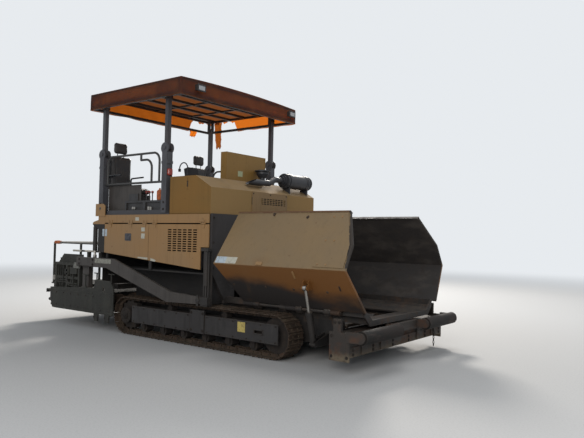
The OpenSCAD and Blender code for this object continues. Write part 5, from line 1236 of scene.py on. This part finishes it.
# The handrail: bare metal on its upper tube, worn white tape on its lower one
bright_rail = coat.times(coat.between(coat.axis("Z"), 1.345, 1.352), coat.facing_up(-0.2, 0.3))
coat.layer((0.28, 0.27, 0.25), bright_rail, 0.5, 0.75)
pale_rail = coat.times(coat.between(coat.axis("Z"), 1.222, 1.226), coat.between(coat.axis("Z"), 1.262, 1.258),
    coat.between(coat.axis("X"), -2.62, -2.6))
bands = coat.between(coat.ripple(coat.axis("X"), 17.0), -0.75, -0.65)
coat.layer((0.42, 0.4, 0.35), coat.times(pale_rail, bands), 0.5, 0.9)
wear("walkway", material=coat.done())
grey_box = clouded("grey_box", (0.14, 0.14, 0.125), "worn_steel", ((0.045, 0.042, 0.036), 16.0, 0.46, 0.68,
    0.8, 0.8), rough=0.55)


def handle(x, y, z0, z1, reach, shank, grip):
    """T handle: an upright bar of radius shank, with a bar of radius grip along X across its top."""
    upright = tube([(x, y, z0), (x, y, z1)], shank)
    return joined(upright, tube([(x - reach, y, z1), (x + reach, y, z1)], grip, count=8))


for side, name in SIDES:
    body = "extension_" + name
    stand("guard_box_" + name, joined(on_side(-2.375, -2.205, 0.952, 1.046, 1.24, 0.024, side, 0.01),
        on_side(-2.36, -2.3, 0.965, 1.03, 1.264, 0.003, side), on_side(-2.285, -2.225, 0.965, 1.03, 1.264,
        0.003, side)), grey_box, body)
    pipes = joined(*[tube(bent([(x, -1.18, 1.01), (x, -1.215, 0.98), (x, -1.215, 0.7),
        (x + 0.05, -1.215, 0.64), (x + 0.05, -1.2, 0.56)], 0.03), 0.01, (1, 0, 0), 8) for x in (-2.88, -2.82,
        -2.52, -2.47)])
    hydraulics = joined(*[tube(bent([(-2.94, -1.228, z), (-2.6, -1.228, z), (-2.56, -1.228, z - 0.05),
        (-2.3, -1.228, z - 0.05)], 0.03), 0.011, count=8) for z in (0.735, 0.7)])
    ribs = joined(*[slab((x, -1.248, 0.66), (x + 0.016, -1.17, 0.985), 0.003) for x in (-2.72, -2.42)],
        slab((-2.955, -1.25, 0.532), (-2.435, -1.234, 0.56), 0.004), slab((-2.93, -1.262, 0.27),
        (-1.8, -1.2535, 0.3), 0.003))
    valve = joined(slab((-2.68, -1.24, 0.83), (-2.56, -1.172, 0.93), 0.008),
        copies(turned([(0.017, 0), (0.017, 0.014), (0.01, 0.02), (0.01, 0.028)], 12),
        frames_at([(x, -1.206, 0.93) for x in (-2.655, -2.62, -2.585)])),
        to_side(turned([(0.014, 0), (0.014, 0.012), (0.008, 0.014)], 12),
        [(x, -1.2405, 0.87) for x in (-2.65, -2.62, -2.59)]))
    stubs = joined(tube([(-2.99, -1.15, 0.365), (-3.26, -1.15, 0.365)], 0.02, count=14),
        tube([(-2.99, -1.19, 0.3), (-3.1, -1.19, 0.3)], 0.034, count=16),
        copies(turned([(0.03, 0), (0.03, 0.02)], 6), frames_at([(-3.225, -1.15, 0.365)], (0, 1, 0),
        (-1, 0, 0))), slab((-3.035, -1.22, 0.265), (-3.003, -1.1, 0.415), 0.005))
    crank = joined(handle(-2.02, -1.262, 0.66, 0.86, 0.08, 0.013, 0.009),
        slab((-2.05, -1.276, 0.6), (-1.99, -1.25, 0.665), 0.004))
    spindle = joined(*[handle(x, -1.266, 0.76, 0.9, 0.07, 0.011, 0.008) for x in (-1.32, -1.7)])
    gate_edge = joined(on_side(-2.9, -1.27, 0.262, 0.285, 1.277, 0.006),
        on_side(-2.98, -1.8, 0.56, 0.578, 1.277, 0.005))
    cover = on_side(-1.62, -1.3, 0.36, 0.6, 1.277, 0.005, corner=0.03)
    fittings = joined(pipes, hydraulics, ribs, valve, stubs, crank, spindle, gate_edge, cover)
    gate_bolts = [(x, z) for x in np.linspace(-2.84, -1.36, 8) for z in (0.32, 0.52)] + [(-1.58, 0.4),
        (-1.58, 0.56), (-1.34, 0.4), (-1.34, 0.56), (-1.735, 0.2), (-1.645, 0.2), (-1.455, 0.2),
        (-1.365, 0.2)]
    bolts = to_side(bolt(0.012, 0.009), [(x, -1.277, z) for x, z in gate_bolts])
    guard_bolts = to_side(bolt(0.01, 0.007), [(x, -1.1725, z) for x in (-2.9, -2.8, -2.6, -2.34)
        for z in (0.62, 1.1)])
    stand("guard_fittings_" + name, for_side(fittings, side), caked, body)
    stand("gate_bolts_" + name, for_side(joined(bolts, guard_bolts), side), tarred, body)
    stand("rail_tape_" + name, copies(turned([(0.0208, 0), (0.0215, 0.002), (0.0215, 0.083), (0.0208, 0.085)],
        20), frames_at([(-3.19, side * 1.12, 0.705)])), worn_white, "screed")
    box_face = to_side(patch(0.145, 0.055, 0.003, 0.006), [(-2.145, side * 1.1, 1.02)], side)
    knobs = to_side(turned([(0.012, 0), (0.012, 0.008), (0.009, 0.012)], 12),
        [(x, side * 1.103, 1.02) for x in (-2.195, -2.16, -2.125, -2.095)], side)
    stand("control_box_face_" + name, box_face, grey_box, "screed")
    stand("control_box_knobs_" + name, knobs, glass, "screed")
grip_x = np.linspace(-3.175, -3.005, 12)
grip = tube(np.stack([grip_x, 0 * grip_x - 1.12, 0 * grip_x + 1.372], axis=1),
    0.0245 + 0.006 * np.sin(np.linspace(0.2, 2.9, 12)) + 0.002 * np.sin(np.arange(12) * 2.4), count=14)
stand("rail_grip", grip, vest, "screed", smooth=True)
deck_seams = joined(*[slab((x, -1.135, 0.6645), (x + 0.008, 1.135, 0.668), 0.001) for x in (-2.95, -2.7,
    -2.45)])
hatch_grips = joined(*[tube(bent([(x, y - 0.05, 0.685), (x, y - 0.05, 0.715), (x, y + 0.05, 0.715),
    (x, y + 0.05, 0.685)], 0.012), 0.006, (1, 0, 0), 8) for x in (-2.245, -2.005) for y in (-0.6, 0.6)])
stand("deck_grips", joined(deck_seams, hatch_grips), caked, "screed")
screed_bolts = to_front(bolt(0.013, 0.01), [(-1.7595, y, z) for y in np.linspace(-1.15, 1.15, 9)
    for z in (0.34, 0.52)])
stand("screed_bolts", screed_bolts, tarred, "screed")
ladder_bolts = to_rear(bolt(0.01, 0.008), [(-1.7305, y, z) for y in (-0.95, -0.45, 0.45, 0.95) for z in (1.1,
    1.45)])
stand("rear_wall_bolts", ladder_bolts, oily_steel, "chassis")
